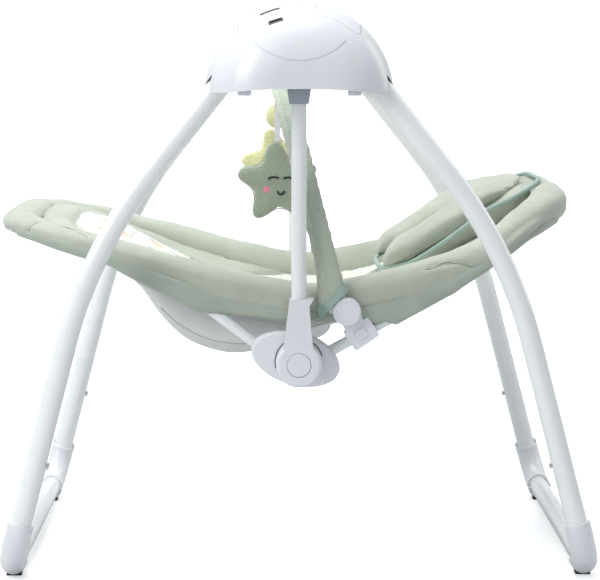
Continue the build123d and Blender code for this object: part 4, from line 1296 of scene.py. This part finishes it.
hang_top = bar_origin + bar_up * bar_height
ribbon_top = hang_top.z - bar_thickness / 2 - ribbon_thickness
for body, tip, tilt, material, slot, face_side in (
    ("sage_star", 0.048, radians(94), sage_terry, "sage_plush", -1),
    ("yellow_star", 0.044, radians(102), yellow_terry, "yellow_plush", 1),
):
    made = plush_star(f"{body}_body", f"{body}_toy", tip, tilt, material, slot, body, face_side)
    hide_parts(f"{body}_toy")
    place = Vector(joint_places[f"{body}_swing"])
    star_top = max(v.co.z for v in made.data.vertices if abs(v.co.x - place.x) < 0.008)
    hanging_ribbon(f"{body}_ribbon", body, place.x, place.y, ribbon_top, star_top - 0.003, slot)


def plush_ball():
    """A stuffed ball of six gores."""
    low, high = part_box("ball_toy")
    centre = Vector(((low.x + high.x) / 2, 0, low.z + 0.014))
    rows = []
    for lat in np.linspace(-pi / 2, pi / 2, 25)[1:-1]:
        row = []
        for j in range(36):
            lon = 2 * pi * j / 36
            wide = cos(lat) * (1 - 0.045 * abs(cos(3 * lon)) ** 8 * cos(lat))
            row.append(centre + Vector((cos(lon) * wide, sin(lon) * wide, sin(lat))) * ball_radius)
        rows.append(row)
    made = netted("ball_body", rows, yellow_terry, "ball", "yellow_plush", closed_columns=True, caps=True)
    finish_soft(made, 2)
    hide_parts("ball_toy")
    hanging_ribbon("ball_ribbon", "ball", centre.x, 0.0, ribbon_top, centre.z + 0.012, "yellow_plush")


plush_ball()


# ======== Small parts on the frame ========


def hub_lines(name, side):
    """The two short lines beside the hinge boss, where it beds into the oval hub."""
    low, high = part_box("seat_hubs")
    y = side * (max(abs(low.y), abs(high.y)) + 0.0001)
    hinge = Vector(joint_places["seat_recline"])
    radius = 0.0252
    for part, start, end in (("left", 128, 196), ("right", 14, 52)):
        line = []
        for turn in np.radians(np.linspace(start, end, 25)):
            line.append(Vector((hinge.x + radius * cos(turn), y, hinge.z + radius * sin(turn))))
        tube(f"{name}_{part}_line", line, superellipse(0.0005, 0.0003, 2, 8), dark_plastic, "seat",
             "grey_plastic", up=Vector((0, 1, 0)))


for side_name, side in SIDES:
    hub_lines(f"{side_name}_hub", side)


def leg_centre_x(tree, y, z):
    left = tree.ray_cast(Vector((-0.6, y, z)), Vector((1, 0, 0)))[0]
    right = tree.ray_cast(Vector((0.0, y, z)), Vector((-1, 0, 0)))[0]
    return (left.x + right.x) / 2


def leg_label():
    """A blank white sticker wrapped on the far front leg."""
    tree = tree_of(frame["nodes"]["far_front_leg"])
    leg_low, leg_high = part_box("far_front_leg")
    y = (leg_low.y + leg_high.y) / 2
    bottom, tall, lift = 0.172, 0.040, 0.0003
    rows = []
    for z in np.linspace(bottom, bottom + tall, 12):
        centre = Vector((leg_centre_x(tree, y, z), y, z))
        row = []
        for angle in np.radians(np.linspace(-150, -30, 14)):
            direction = Vector((cos(angle), sin(angle), 0))
            hit = tree.ray_cast(centre + direction * 0.05, -direction)[0]
            row.append(hit + direction * lift)
        rows.append(row)
    points, faces = net(rows)
    piece("blank_label", points, faces, label_vinyl, "front_legs", "white_plastic")


leg_label()
